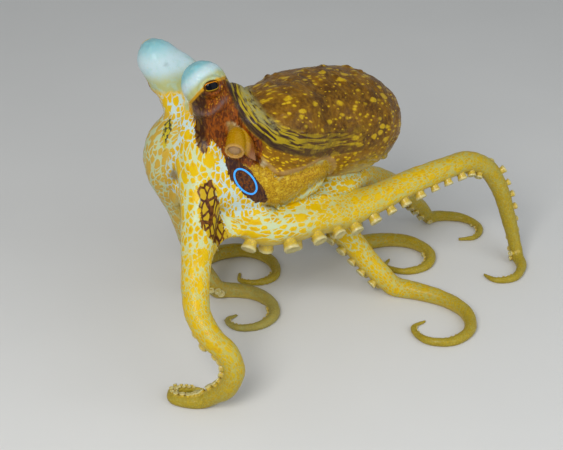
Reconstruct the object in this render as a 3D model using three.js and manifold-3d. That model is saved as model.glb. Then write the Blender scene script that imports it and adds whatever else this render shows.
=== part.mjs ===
// An ocellate octopus, life size, standing up on its arms with its head raised. Its second left arm is
// hooked on the ground in front of it and its third left arm reaches out to its side. Millimetres, +Z up.
// -Y is the animal's own left side, and its body points away towards +X and +Y. Places are given from a
// point on the ground under its mouth. The finished model is moved, so that the origin is on the ground
// under the middle of the whole animal.
import * as THREE from "three";
import { mergeVertices } from "three/addons/utils/BufferGeometryUtils.js";
import Module from "manifold-3d";

const wasm = await Module();
wasm.setup();

// ---- Sizes shared by several pieces ----
const GAP = 0.3; // the thin cut between two neighbouring pieces
const WEB_THICKNESS = 1.8;
const EYE_RADIUS = 4.6;
const FACETS = { head: 10, stalk: 9, eye: 9, mantle: 13, funnel: 9, arm: 8, sucker: 5 };

// ---- Head, mantle and funnel: ellipsoids and round posts ----
const HEAD_PARTS = {
  skull: { at: [0, 1, 76], radii: [13, 11.5, 12], yaw: 20 },
  leftCheek: { at: [6, -4, 63], radii: [13, 10.5, 14], yaw: 20, pitch: -30 },
  frontCheek: { at: [-10, 4, 66], radii: [12, 11, 13] },
  rightCheek: { at: [0, 14, 63], radii: [13, 10, 13], yaw: 30 },
  neck: { at: [21, 6, 62.5], radii: [16.5, 13, 11], yaw: 30, pitch: 6 },
  crown: { at: [3, 6, 55], radii: [18, 15, 9.5], yaw: -10 },
  rightBrow: { at: [-14, 8, 94.6], radii: [8.5, 5.5, 6], pitch: 33 },
};
// An eye stalk tapers from the skull to a round dome, where the eye looks out of its side.
const EYE_STALKS = {
  left: {
    foot: [3, -1, 74], dome: [-5.1, -8, 97.5], radii: [10.5, 7.6, 6.7, 7.3], look: [0.45, -0.86, 0.16],
  },
  right: {
    foot: [-6, 3, 75], dome: [-21.3, 8, 99.2], radii: [10, 7, 6.5, 6.5], look: [-0.32, 0.92, 0.16],
  },
};
const STALK_SHARES = [0, 0.35, 0.66, 1]; // where a stalk has each of its radii; the last is its dome's
const EYE_OFFSET = 3.4; // from the middle of the dome to the middle of the eyeball
const MANTLE = {
  foot: [13, 6, 78],
  top: [60, 43, 60],
  profile: [[0, 12], [0.1, 15.4], [0.24, 17.6], [0.4, 18.9], [0.56, 19.2], [0.72, 17.6], [0.86, 13.4],
    [0.95, 8], [1, 2.6]],
};
const MANTLE_LOBE = { at: [20.5, 3.5, 75.5], radii: [16.3, 14, 15.6], yaw: 35 }; // the free edge at the neck
const MANTLE_SHOULDER = { // the free edge's thick start, behind the left eye stalk
  foot: [4, 1, 93], top: [14, -8.5, 80], profile: [[0, 3], [0.4, 4], [1, 4.5]],
};
const FUNNEL = {
  root: [10.5, -4, 85], mouth: [3.9, -15.6, 76], radii: [4.6, 4.2, 3.3], wall: 0.9, depth: 0.5,
};

// ---- The eight arms ----
// way: places along the middle of the arm, from the head to the tip. cuts: the shares of its length where
// it is divided. root, swell, swellAt, fade and taper shape its thickness, as radiusAt says below.
// suckers: how many pairs of large ones stand out, from which share of its length, and how far apart.
// reach: how far those stand out, in the arm's radii. showing: how strongly the arm turns them to its left.
const G = -8; // a height under the ground: an arm that aims there lies on the ground
const ARMS = {
  left_1: {
    way: [[-2, 3, 74], [-10, 2, 76], [-17, 2, 71], [-19.3, 2, 62.5], [-18, 4, 53], [-15.5, 8, 42],
      [-13, 12, 28.5], [-10, 15, 15], [-5, 17, 4], [2, 18, G], [10, 16, G], [16, 10, G], [17, 2, G],
      [12, -4, G], [4, -5, G], [0, 0, G], [4, 4, G]],
    cuts: [0.4, 0.68], root: 5.9, swell: 3.2, swellAt: 17, fade: 15, taper: 0.8, suckers: 2, from: 0.36,
  },
  left_2: {
    way: [[-3, -1, 76], [-6, -6, 71], [-7, -10, 64], [-7.2, -15, 57.5], [-7.6, -21, 52], [-7.8, -28, 46.7],
      [-8, -37, 39.3], [-7, -44, 32.6], [-2.4, -49.3, 27], [2.8, -52, 22.8], [4.6, -53, 16.5],
      [1.6, -52, 8.6], [-4.8, -49.5, 2.5], [-11.6, -49, G], [-16, -47, G], [-16.5, -43, G],
      [-11, -41.6, G], [-4, -42.4, G]],
    cuts: [0.4, 0.57, 0.73, 0.86], root: 6.3, swell: 2.2, fade: 26, taper: 0.72, suckers: 5, from: 0.53,
    spacing: 2.6, hook: [-8, -38, 17],
  },
  left_3: {
    way: [[0, 0, 58], [5, -6, 50], [13, -8, 45], [23, -4, 43.3], [32, 2, 42], [42, 10, 39.6],
      [55, 20, 40.6], [68, 30, 41.8], [80, 38, 42.6], [90, 45, 42.2], [98, 49, 37], [104, 50, 27],
      [108, 48, 15], [111, 43, 4], [112, 35, G], [108, 28, G], [101, 27, G], [97, 32, G]],
    cuts: [0.3, 0.52, 0.76], root: 6.8, swell: 0.6, fade: 30, taper: 0.72, suckers: 7, from: 0.07,
    spacing: 4.2, reach: 1.38, showing: 1.1,
  },
  left_4: {
    way: [[6, 5, 58], [13, 4, 49], [21, 6, 45.3], [30, 11, 46.4], [39, 19, 46.6], [49, 33, 42],
      [60, 48, 32], [69, 61, 19], [77, 70, 7], [86, 75, G], [95, 73, G], [100, 66, G], [97, 59, G],
      [90, 58, G]],
    cuts: [0.34, 0.58, 0.78], root: 6.4, swell: 1, fade: 30, taper: 0.8, suckers: 2, from: 0.3, spacing: 4,
  },
  right_1: {
    way: [[-4, 9, 66], [-11, 13, 65], [-16, 18, 57], [-17, 23, 45], [-15, 29, 32], [-13, 35, 18],
      [-10, 40, 6], [-4, 45, G], [4, 47, G], [12, 44, G], [17, 37, G], [17, 29, G], [11, 25, G],
      [4, 27, G], [4, 33, G]],
    cuts: [0.36, 0.64], root: 6.2, swell: 2, fade: 26, taper: 0.85, suckers: 2, from: 0.32,
  },
  right_2: {
    way: [[-1, 12, 60], [-4, 21, 58], [-5, 32, 50], [-3, 42, 37], [2, 51, 23], [8, 60, 10], [15, 68, G],
      [24, 75, G], [35, 79, G], [45, 77, G], [51, 70, G], [49, 62, G], [41, 60, G], [37, 66, G]],
    cuts: [0.36, 0.64], root: 6.4, swell: 1.4, fade: 26, taper: 0.85, suckers: 2, from: 0.3,
  },
  right_3: {
    way: [[5, 12, 57], [12, 22, 54], [20, 31, 46], [28, 38, 34], [36, 44, 20], [45, 49, 7], [54, 53, G],
      [64, 55, G], [73, 52, G], [78, 44, G], [75, 36, G], [67, 33, G], [60, 37, G], [62, 43, G]],
    cuts: [0.36, 0.64], root: 6.2, swell: 1.4, fade: 26, taper: 0.85, suckers: 2, from: 0.3,
  },
  right_4: {
    way: [[9, 9, 55], [20, 15, 49], [31, 19, 39], [42, 21, 26], [52, 21, 13], [62, 19, 2], [72, 16, G],
      [81, 11, G], [87, 3, G], [87, -7, G], [80, -14, G], [71, -13, G], [67, -5, G], [72, 0, G]],
    cuts: [0.36, 0.64], root: 6.2, swell: 1, fade: 26, taper: 0.85, suckers: 2, from: 0.3,
  },
};
const MOUTH = new THREE.Vector3(2, 6, 46); // in the middle of the arms' roots
const LENGTH_NAMES = ["middle", "lower", "end"]; // an arm's lengths between its base and its tip
const ARM_TIP_RADIUS = 0.55;
const ORAL_FLATNESS = 0.86; // an arm is a little flatter on the side that carries the suckers
const ROOT_ROUNDING = 9; // the arm starts as a round end inside the head
const RING_SPACING = { share: 1.08, least: 4.8, atRoot: 3.5 }; // between rings; share is of the arm's width
const RESTING_HEIGHT = 0.7; // of a lying arm's middle, in its radii
const LANDING_SOFTNESS = 3; // square millimetres: how gently an arm comes down on the ground
const SINK = 0.2; // how much of a lying arm's radius is pressed flat
const CURL_PULL = 1.75; // how strongly a curl on the ground turns the suckers to its inside
const INWARD_PULL = 0.7; // how strongly a hanging arm turns the suckers to the mouth's side
const SHOWING_FROM = [18, 45]; // from no turn to full turn, along an arm that shows its suckers
const SUCKER = { size: 0.44, lean: 0.5, foot: 0.6, reach: 1.16, waist: 0.6, spacing: 3.2 };

// Each web: the two arms it hangs between, and where along each of them it starts and ends.
const WEBS = [
  { arms: ["left_1", "left_2"], from: [20, 20], to: [48, 48] },
  { arms: ["left_2", "left_3"], from: [24, 10], to: [61, 27] },
  { arms: ["right_4", "right_3"], from: [12, 12], to: [44, 44] },
  { arms: ["right_3", "right_2"], from: [12, 12], to: [44, 44] },
  { arms: ["right_2", "right_1"], from: [12, 12], to: [44, 44] },
  { arms: ["right_1", "left_1"], from: [14, 26], to: [40, 54] },
];
const WEB_SCALLOP = 0.5; // how much shorter a web is in its middle

const { clamp, degToRad, smoothstep } = THREE.MathUtils;
const v3 = (place) => new THREE.Vector3(...place);

// ---- Joining and cutting ----
function solidOf(geometry) {
  const bare = new THREE.BufferGeometry();
  bare.setAttribute("position", geometry.getAttribute("position"));
  bare.setIndex(geometry.index);
  const merged = mergeVertices(bare, 1e-4);
  const vertProperties = merged.attributes.position.array;
  const triVerts = new Uint32Array(merged.index.array);
  return new wasm.Manifold(new wasm.Mesh({ numProp: 3, vertProperties, triVerts }));
}

function geometryOf(solid) {
  const { numVert, numProp, vertProperties, triVerts } = solid.getMesh();
  const position = new Float32Array(numVert * 3);
  for (let i = 0; i < numVert; i++)
    position.set(vertProperties.subarray(i * numProp, i * numProp + 3), i * 3);
  const geometry = new THREE.BufferGeometry();
  geometry.setAttribute("position", new THREE.BufferAttribute(position, 3));
  geometry.setIndex(new THREE.BufferAttribute(triVerts, 1));
  return geometry.toNonIndexed();
}

const union = (solids) => solids.reduce((all, one) => all.add(one));
const largest = (solid) =>
  solid.decompose().reduce((best, body) => (body.volume() > best.volume() ? body : best));

// ---- Shapes ----
// A closed skin through rings of points, each with the same number of points, with a fan at each end.
function loft(rings) {
  const sides = rings[0].length;
  const points = rings.flat();
  const faces = [];
  for (let i = 0; i + 1 < rings.length; i++)
    for (let k = 0; k < sides; k++) {
      const a = i * sides + k;
      const b = i * sides + ((k + 1) % sides);
      faces.push(a, a + sides, b + sides, a, b + sides, b);
    }
  const closeEnd = (first, turned) => {
    const centre = new THREE.Vector3();
    for (let k = 0; k < sides; k++) centre.add(points[first + k]);
    points.push(centre.divideScalar(sides));
    for (let k = 0; k < sides; k++) {
      const edge = [first + k, first + ((k + 1) % sides)];
      faces.push(...(turned ? edge.reverse() : edge), points.length - 1);
    }
  };
  closeEnd(0, false);
  closeEnd((rings.length - 1) * sides, true);
  const geometry = new THREE.BufferGeometry().setFromPoints(points);
  geometry.setIndex(faces);
  return solidOf(geometry);
}

// One ring of points square to along; the side towards oral is flattened.
function ring(centre, along, oral, radius, sides, flatness = 1) {
  const flatSide = oral.clone().addScaledVector(along, -oral.dot(along)).normalize();
  const across = new THREE.Vector3().crossVectors(along, flatSide);
  return Array.from({ length: sides }, (_, k) => {
    const turn = ((k + 0.5) / sides) * 2 * Math.PI;
    const depth = Math.cos(turn) < 0 ? flatness : 1;
    return centre
      .clone()
      .addScaledVector(flatSide, -Math.cos(turn) * depth * radius)
      .addScaledVector(across, Math.sin(turn) * radius);
  });
}

function ellipsoid({ at, radii, yaw = 0, pitch = 0 }, grow, sides) {
  const geometry = new THREE.SphereGeometry(1, sides, Math.round(sides * 0.7));
  geometry.scale(...radii.map((radius) => radius + grow));
  geometry.rotateY(degToRad(pitch));
  geometry.rotateZ(degToRad(yaw));
  geometry.translate(...at);
  return solidOf(geometry);
}

// A round post along a straight line; profile is a list of [share of the length, radius].
function post({ foot, top, profile }, grow, sides) {
  const start = v3(foot);
  const along = v3(top).sub(start);
  const direction = along.clone().normalize();
  const side = new THREE.Vector3(1, 0, 0);
  return loft(
    profile.map(([share, radius], i) => {
      const centre = start.clone().addScaledVector(along, share);
      centre.addScaledVector(direction, i === 0 ? -grow : grow);
      return ring(centre, direction, side, radius + grow, sides);
    }),
  );
}

// ---- Head, mantle and funnel ----
function eyeStalk({ foot, dome, radii }, grow) {
  const cap = radii[3];
  const height = v3(dome).distanceTo(v3(foot));
  const sides = STALK_SHARES.slice(0, 3).map((share, i) => [share, radii[i]]);
  const round = [0, 28, 52, 74].map(degToRad).map((turn) => {
    return [1 + (cap * Math.sin(turn)) / height, cap * Math.cos(turn)];
  });
  return post({ foot, top: dome, profile: [...sides, ...round] }, grow, FACETS.stalk);
}

function head(grow) {
  const flesh = Object.values(HEAD_PARTS).map((part) => ellipsoid(part, grow, FACETS.head));
  const stalks = Object.values(EYE_STALKS).map((stalk) => eyeStalk(stalk, grow));
  return union([...flesh, ...stalks]);
}

function eyeball({ dome, look }, grow) {
  const at = v3(dome).addScaledVector(v3(look).normalize(), EYE_OFFSET).toArray();
  return ellipsoid({ at, radii: [EYE_RADIUS, EYE_RADIUS, EYE_RADIUS] }, grow, FACETS.eye);
}

const mantle = (grow) =>
  union([
    post(MANTLE, grow, FACETS.mantle),
    ellipsoid(MANTLE_LOBE, grow, FACETS.mantle),
    post(MANTLE_SHOULDER, grow, FACETS.arm),
  ]);

function funnel() {
  const { root, mouth, radii, wall, depth } = FUNNEL;
  const alongBore = (share) => v3(mouth).lerp(v3(root), share).toArray();
  const boreRadius = radii[2] - wall;
  const profile = [[0, radii[0]], [0.6, radii[1]], [1, radii[2]]];
  const tube = post({ foot: root, top: mouth, profile }, 0, FACETS.funnel);
  const boreProfile = [[0, 0.8 * boreRadius], [1, boreRadius]];
  const bore = { foot: alongBore(depth), top: alongBore(-0.1), profile: boreProfile };
  return tube.subtract(post(bore, 0, FACETS.funnel));
}

// ---- Arms ----
class Arm {
  constructor(shape) {
    Object.assign(this, shape);
    this.curve = new THREE.CatmullRomCurve3(shape.way.map(v3), false, "centripetal");
    this.curve.arcLengthDivisions = 400;
    this.length = this.curve.getLength();
  }

  // The thickness tapers to the tip, swells near the head, and rounds off where the arm starts.
  radiusAt(share) {
    const distance = share * this.length;
    const taper = (this.root - ARM_TIP_RADIUS) * Math.max(0, 1 - share) ** this.taper;
    const swell = this.swell * Math.exp(-(((distance - (this.swellAt ?? 0)) / this.fade) ** 2));
    const start = Math.min(1, (distance + 1.5) / ROOT_ROUNDING);
    return (ARM_TIP_RADIUS + taper + swell) * Math.sqrt(1 - (1 - start) ** 2);
  }

  // The middle of the arm, kept about its own radius above the ground.
  at(share) {
    const point = this.curve.getPointAt(clamp(share, 0, 1));
    const resting = RESTING_HEIGHT * this.radiusAt(share) - 0.1;
    const over = point.z - resting;
    point.z = resting + 0.5 * (over + Math.sqrt(over * over + LANDING_SOFTNESS));
    return point;
  }

  alongAt(share) {
    const here = clamp(share, 0, 1);
    return this.at(here + 0.004).sub(this.at(here - 0.004)).normalize();
  }

  // The way the suckers face: down, inwards where the arm comes down from the mouth, to the inside of a
  // curl on the ground, and towards the middle of the hook.
  oralAt(share) {
    const point = this.at(share);
    const inward = MOUTH.clone().sub(point).setZ(0);
    const facing = new THREE.Vector3(0, 0, -1);
    const turned = smoothstep(share * this.length, ...SHOWING_FROM);
    const pull = this.showing ? -this.showing * turned : INWARD_PULL;
    if (inward.length() > 1) facing.addScaledVector(inward.normalize(), pull * clamp(point.z / 30, 0, 1));
    const step = 4 / this.length;
    const curl = this.alongAt(share + step).sub(this.alongAt(share - step));
    facing.addScaledVector(curl.setZ(0), CURL_PULL * clamp(1.4 - point.z / 8, 0, 1));
    if (this.hook) {
      const toHook = v3(this.hook).sub(point).normalize();
      facing.normalize().lerp(toHook, smoothstep(share, 0.36, 0.6));
    }
    const along = this.alongAt(share);
    return facing.addScaledVector(along, -facing.dot(along)).normalize();
  }

  // A ring round the arm, lifted until it lies on the ground and pressed flat there.
  ringAt(share, grow) {
    const section = (radius) =>
      ring(this.at(share), this.alongAt(share), this.oralAt(share), radius, FACETS.arm, ORAL_FLATNESS);
    const radius = this.radiusAt(share);
    const lowest = Math.min(...section(radius).map((point) => point.z));
    const lift = Math.max(0, -lowest - SINK * radius);
    const rim = section(radius + grow);
    for (const point of rim) point.z = Math.max(point.z + lift, -grow);
    return rim;
  }

  stretch(from, to, grow) {
    const shares = [from];
    while (shares.at(-1) < to) {
      const here = shares.at(-1);
      const nearRoot = RING_SPACING.atRoot + 0.2 * here * this.length;
      const along = Math.max(RING_SPACING.least, 2 * this.radiusAt(here) * RING_SPACING.share);
      shares.push(here + Math.min(nearRoot, along) / this.length);
    }
    const fit = (to - from) / (shares.at(-1) - from);
    return loft(shares.map((share) => this.ringAt(Math.min(1, from + (share - from) * fit), grow)));
  }

  // Two rows of low cups, each wider at its rim than at its foot.
  suckersBetween(from, to, grow) {
    const cups = [];
    let share = this.from;
    for (let i = 0; i < 2 * this.suckers; i++) {
      const armRadius = this.radiusAt(share);
      const radius = SUCKER.size * armRadius;
      const margin = radius / this.length;
      if (share - margin > from && share + margin < to) {
        const along = this.alongAt(share);
        const lean = this.oralAt(share);
        const across = new THREE.Vector3().crossVectors(along, lean);
        lean.addScaledVector(across, i % 2 ? SUCKER.lean : -SUCKER.lean).normalize();
        const cupRing = (height, width) => {
          const centre = this.at(share).addScaledVector(lean, height);
          return ring(centre, lean, along, width + grow, FACETS.sucker);
        };
        const foot = cupRing(SUCKER.foot * armRadius, SUCKER.waist * radius);
        cups.push(loft([foot, cupRing((this.reach ?? SUCKER.reach) * armRadius + grow, radius)]));
      }
      share += (0.5 * (this.spacing ?? SUCKER.spacing) * radius) / this.length;
    }
    return cups;
  }

  piece(from, to, grow) {
    return union([this.stretch(from, to, grow), ...this.suckersBetween(from, to, grow)]);
  }
}

// ---- Web ----
// A thick skin hung between two arms, shorter in its middle.
function webPanel({ arms, from, to }, allArms) {
  const across = 5;
  const down = 4;
  const side = (i, v) => {
    const arm = allArms[arms[i]];
    return arm.at((from[i] + (to[i] - from[i]) * v) / arm.length);
  };
  const place = (u, v) => {
    const reach = v * (1 - WEB_SCALLOP * Math.sin(Math.PI * u));
    return side(0, reach).lerp(side(1, reach), u);
  };
  const faceAt = (thickness) => {
    const points = [];
    for (let i = 0; i <= across; i++)
      for (let j = 0; j <= down; j++) {
        const [u, v] = [i / across, j / down];
        const alongU = place(u + 0.02, v).sub(place(u - 0.02, v));
        const alongV = place(u, v + 0.02).sub(place(u, v - 0.02));
        points.push(place(u, v).addScaledVector(alongU.cross(alongV).normalize(), thickness));
      }
    return points;
  };
  const points = [...faceAt(WEB_THICKNESS / 2), ...faceAt(-WEB_THICKNESS / 2)];
  const under = points.length / 2;
  const at = (i, j) => i * (down + 1) + j;
  const faces = [];
  const quad = (a, b, c, d) => faces.push(a, b, c, a, c, d);
  const edge = (a, b) => quad(a, under + a, under + b, b);
  for (let i = 0; i < across; i++) {
    for (let j = 0; j < down; j++) {
      quad(at(i, j), at(i + 1, j), at(i + 1, j + 1), at(i, j + 1));
      quad(under + at(i, j), under + at(i, j + 1), under + at(i + 1, j + 1), under + at(i + 1, j));
    }
    edge(at(i, 0), at(i + 1, 0));
    edge(at(i + 1, down), at(i, down));
  }
  for (let j = 0; j < down; j++) {
    edge(at(across, j), at(across, j + 1));
    edge(at(0, j + 1), at(0, j));
  }
  const geometry = new THREE.BufferGeometry().setFromPoints(points);
  geometry.setIndex(faces);
  return solidOf(geometry);
}

// ---- Putting it together ----
const COLOURS = { yellow: 0xe0b040, pale: 0xd8dcc8, brown: 0x8a4a14, amber: 0xd89a20, eye: 0x20140a };
const group = new THREE.Group();

function addNode(name, solid, colour, roughness = 0.4) {
  const material = new THREE.MeshStandardMaterial({ color: COLOURS[colour], roughness, metalness: 0 });
  const mesh = new THREE.Mesh(geometryOf(solid), material);
  mesh.name = name;
  group.add(mesh);
}

function addHead() {
  const sockets = Object.values(EYE_STALKS).map((stalk) => eyeball(stalk, GAP));
  addNode("mantle", mantle(0), "brown");
  addNode("head", largest(head(0).subtract(mantle(GAP)).subtract(union(sockets))), "yellow");
  addNode("funnel", largest(funnel().subtract(torsoGrown)), "amber");
  for (const [side, stalk] of Object.entries(EYE_STALKS))
    addNode(`eye_${side}`, eyeball(stalk, 0), "eye", 0.1);
}

// Each base is cut clear of the head, the mantle and the bases before it.
function addArms(arms) {
  const bases = [];
  for (const [name, arm] of Object.entries(arms)) {
    const stops = [0, ...arm.cuts, 1];
    const lengths = ["base", ...LENGTH_NAMES.slice(0, stops.length - 3), "tip"];
    const base = arm.piece(0, stops[1], 0).subtract(torsoGrown);
    addNode(`arm_${name}_base`, largest(bases.reduce((left, other) => left.subtract(other), base)), "yellow");
    bases.push(arm.piece(0, stops[1], GAP));
    for (let i = 1; i < lengths.length; i++)
      addNode(`arm_${name}_${lengths[i]}`, arm.piece(stops[i] + GAP / arm.length, stops[i + 1], 0), "pale");
  }
}

function addWebs(arms) {
  const upperLengths = Object.values(arms).flatMap((arm) => {
    const [first, second] = arm.cuts;
    return [arm.piece(0, first, GAP), arm.piece(first, second, GAP)];
  });
  const clearOf = union([torsoGrown, ...upperLengths]);
  for (const web of WEBS)
    addNode(`web_${web.arms.join("_")}`, largest(webPanel(web, arms).subtract(clearOf)), "yellow");
}

const torsoGrown = head(GAP).add(mantle(GAP));
const arms = Object.fromEntries(Object.entries(ARMS).map(([name, shape]) => [name, new Arm(shape)]));
addHead();
addArms(arms);
addWebs(arms);

const box = new THREE.Box3().setFromObject(group);
const middle = box.getCenter(new THREE.Vector3());
group.position.set(-middle.x, -middle.y, -box.min.z);

export default group;
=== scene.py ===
"""An ocellate octopus, life size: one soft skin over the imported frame, with its suckers, eyes and funnel.

Places are given in millimetres from a point on the ground under the mouth, +Z up, as the frame's pieces
were drawn. place() turns them into the frame's own metres. -Y is the animal's own left side.
"""
from functools import partial, reduce

import bpy
import numpy as np
from mathutils import Matrix, Vector, noise


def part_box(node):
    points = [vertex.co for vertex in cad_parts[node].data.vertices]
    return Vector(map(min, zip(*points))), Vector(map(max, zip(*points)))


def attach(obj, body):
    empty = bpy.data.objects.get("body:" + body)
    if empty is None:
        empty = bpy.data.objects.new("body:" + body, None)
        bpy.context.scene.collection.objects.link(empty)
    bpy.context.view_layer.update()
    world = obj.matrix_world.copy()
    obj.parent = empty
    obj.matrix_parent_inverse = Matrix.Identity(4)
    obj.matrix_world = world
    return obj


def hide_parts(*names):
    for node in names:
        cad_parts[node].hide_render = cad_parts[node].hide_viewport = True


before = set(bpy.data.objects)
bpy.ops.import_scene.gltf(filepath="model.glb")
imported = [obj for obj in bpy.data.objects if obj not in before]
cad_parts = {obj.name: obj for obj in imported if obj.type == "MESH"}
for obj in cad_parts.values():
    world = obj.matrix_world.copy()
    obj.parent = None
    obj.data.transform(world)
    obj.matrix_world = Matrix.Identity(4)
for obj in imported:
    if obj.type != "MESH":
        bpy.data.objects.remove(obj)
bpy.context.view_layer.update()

MM = 0.001
LOW = -8  # a height under the ground: an arm that aims there lies on the ground
VOXEL = 0.84  # millimetres: how finely the joined flesh is meshed
ARM_STATIONS = 181
TIP_RADIUS = 0.75
ROUND_START = 9  # how far along an arm its round beginning reaches
PRESSED = 0.7  # of its radius: how high a resting arm's middle lies

# ---- The animal's measures, as in the frame ----
ELLIPSOIDS = {
    "skull": dict(at=(0, 1, 76), radii=(13, 11.5, 12), yaw=20),
    "left cheek": dict(at=(6, -4, 63), radii=(13, 10.5, 14), yaw=20, pitch=-30),
    "front cheek": dict(at=(-10, 4, 66), radii=(12, 11, 13)),
    "right cheek": dict(at=(0, 14, 63), radii=(13, 10, 13), yaw=30),
    "neck": dict(at=(21, 6, 62.5), radii=(16.5, 13, 11), yaw=30, pitch=6),
    "crown": dict(at=(3, 6, 55), radii=(18, 15, 9.5), yaw=-10),
    "right brow": dict(at=(-14, 8, 94.6), radii=(8.5, 5.5, 6), pitch=33),
    "mantle lobe": dict(at=(20.5, 3.5, 75.5), radii=(16.3, 14, 15.6), yaw=35),
}
STALKS = {
    "left": dict(
        foot=(3, -1, 74), dome=(-5.1, -8, 97.5), radii=(10.5, 7.6, 6.7, 7.3), look=(0.45, -0.86, 0.16)),
    "right": dict(
        foot=(-6, 3, 75), dome=(-21.3, 8, 99.2), radii=(10, 7, 6.5, 6.5), look=(-0.32, 0.92, 0.16)),
}
MANTLE = dict(
    foot=(13, 6, 78), top=(60, 43, 60),
    profile=((0, 12), (0.1, 15.4), (0.24, 17.6), (0.4, 18.9), (0.56, 19.2), (0.72, 17.6), (0.86, 13.4),
             (0.95, 8), (1, 2.6)),
)
SHOULDER = dict(foot=(2, -1, 92.6), top=(14, -8.5, 80), radii=(3, 4, 4.5))  # the mantle's thick free edge
FUNNEL = dict(
    way=[(5.6, -6.5, 82.2), (5.2, -10.8, 81.6), (5.1, -13.8, 80.6), (5.0, -16.4, 79.3), (4.7, -18.8, 78.4)],
    radii=(1.5, 2.1, 2.9, 3.3, 3.2), wall=0.75, floor_at=18, floor_radius=2.8)
FUNNEL_STATIONS = 24
FUNNEL_VOXEL = 0.26
FLAP = dict(
    inner=((6.6, -10.5, 83.2), (7.0, -14.0, 80.6), (6.6, -15.6, 77.2)),
    outer=((9.0, -9.5, 82.8), (10.8, -12.8, 78.5), (11.4, -15.2, 73.4)),
    thickness=0.6, bulge=0.9)
EYE_RADIUS = 4.6
EYE_OFFSET = 3.4  # from the dome's middle to the eyeball's
GAZE = {"left": (0.32, -0.87, 0.36), "right": (-0.32, 0.88, 0.36)}  # a little above the stalks' own fronts
EYE_TILT = {"left": 8, "right": -8}  # degrees: how far the bar pupil turns from level
LID_OPENING = (2.5, 1.7)  # half its width and height
LID_COVER = 0.7  # the lid's thickness over the eyeball
LID_EDGE = dict(at=1.3, width=0.2, height=0.2)  # its thick rim, at a share of the opening's own size
LID_CREASE = dict(at=1.95, width=0.35, height=0.18)
BEHIND_THE_LIDS = 1.3  # how deep in the eyeball the skin lies where the lids are open
PUPIL = (1.95, 1.1)  # half its width and height
MOUTH = np.array([2.0, 6.0, 46.0])
ARMS = {
    "left_1": dict(
        way=[(-2, 3, 74), (-10, 2, 76), (-17, 2, 71), (-19.3, 2, 62.5), (-18, 4, 53), (-15.5, 8, 42),
             (-13, 12, 28.5), (-10, 15, 15), (-5, 17, 4), (2, 18, LOW), (10, 16, LOW), (16, 10, LOW),
             (17, 2, LOW), (12, -4, LOW), (4, -5, LOW), (0, 0, LOW), (4, 4, LOW)],
        root=5.9, swell=3.2, swell_at=17, fade=15, taper=0.8),
    "left_2": dict(
        way=[(-3, -1, 76), (-6, -6, 71), (-7, -10, 64), (-7.2, -15, 57.5), (-7.6, -21, 52),
             (-7.8, -28, 46.7), (-8, -37, 39.3), (-7, -44, 32.6), (-2.4, -49.3, 27), (2.8, -52, 22.8),
             (4.6, -53, 16.5), (1.6, -52, 8.6), (-4.8, -49.5, 2.5), (-11.6, -49, LOW), (-16, -47, LOW),
             (-16.5, -43, LOW), (-11, -41.6, LOW), (-4, -42.4, LOW)],
        root=6.3, swell=2.2, taper=0.72, spacing=2.6, cup_height=1.15, hook=(-8, -38, 17)),
    "left_3": dict(
        way=[(0, 0, 58), (5, -6, 50), (13, -8, 45), (23, -4, 43.3), (32, 2, 42), (42, 10, 39.6),
             (55, 20, 40.6), (68, 30, 41.8), (80, 38, 42.6), (90, 45, 42.2), (98, 49, 37), (104, 50, 27),
             (108, 48, 15), (111, 43, 4), (112, 35, LOW), (108, 28, LOW), (101, 27, LOW), (97, 32, LOW)],
        root=6.8, swell=0.6, fade=30, taper=0.72, spacing=3.5, cup_height=1.35, showing=1.1),
    "left_4": dict(
        way=[(6, 5, 58), (13, 4, 49), (21, 6, 45.3), (30, 11, 46.4), (39, 19, 46.6), (49, 33, 42),
             (60, 48, 32), (69, 61, 19), (77, 70, 7), (86, 75, LOW), (95, 73, LOW), (100, 66, LOW),
             (97, 59, LOW), (90, 58, LOW)],
        root=6.4, swell=1, fade=30, taper=0.8, spacing=4),
    "right_1": dict(
        way=[(-4, 9, 66), (-11, 13, 65), (-16, 18, 57), (-17, 23, 45), (-15, 29, 32), (-13, 35, 18),
             (-10, 40, 6), (-4, 45, LOW), (4, 47, LOW), (12, 44, LOW), (17, 37, LOW), (17, 29, LOW),
             (11, 25, LOW), (4, 27, LOW), (4, 33, LOW)],
        root=6.2, swell=2),
    "right_2": dict(
        way=[(-1, 12, 60), (-4, 21, 58), (-5, 32, 50), (-3, 42, 37), (2, 51, 23), (8, 60, 10),
             (15, 68, LOW), (24, 75, LOW), (35, 79, LOW), (45, 77, LOW), (51, 70, LOW), (49, 62, LOW),
             (41, 60, LOW), (37, 66, LOW)],
        root=6.4, swell=1.4),
    "right_3": dict(
        way=[(5, 12, 57), (12, 22, 54), (20, 31, 46), (28, 38, 34), (36, 44, 20), (45, 49, 7),
             (54, 53, LOW), (64, 55, LOW), (73, 52, LOW), (78, 44, LOW), (75, 36, LOW), (67, 33, LOW),
             (60, 37, LOW), (62, 43, LOW)],
        root=6.2, swell=1.4),
    "right_4": dict(
        way=[(9, 9, 55), (20, 15, 49), (31, 19, 39), (42, 21, 26), (52, 21, 13), (62, 19, 2),
             (72, 16, LOW), (81, 11, LOW), (87, 3, LOW), (87, -7, LOW), (80, -14, LOW), (71, -13, LOW),
             (67, -5, LOW), (72, 0, LOW)],
        root=6.2, swell=1),
}
WEB_THICKNESS = 1.9
WEBS = (  # start and end: how far along each of its two arms
    dict(arms_between=("left_1", "left_2"), start=(20, 20), end=(48, 48)),
    dict(arms_between=("left_2", "left_3"), start=(24, 10), end=(61, 27)),
    dict(arms_between=("right_4", "right_3"), start=(12, 12), end=(44, 44)),
    dict(arms_between=("right_3", "right_2"), start=(12, 12), end=(44, 44)),
    dict(arms_between=("right_2", "right_1"), start=(12, 12), end=(44, 44)),
    dict(arms_between=("right_1", "left_1"), start=(14, 26), end=(40, 54)),
)


# ---- Small helpers ----
def unit(vectors):
    vectors = np.asarray(vectors, float)
    return vectors / np.maximum(np.linalg.norm(vectors, axis=-1, keepdims=True), 1e-9)


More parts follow.
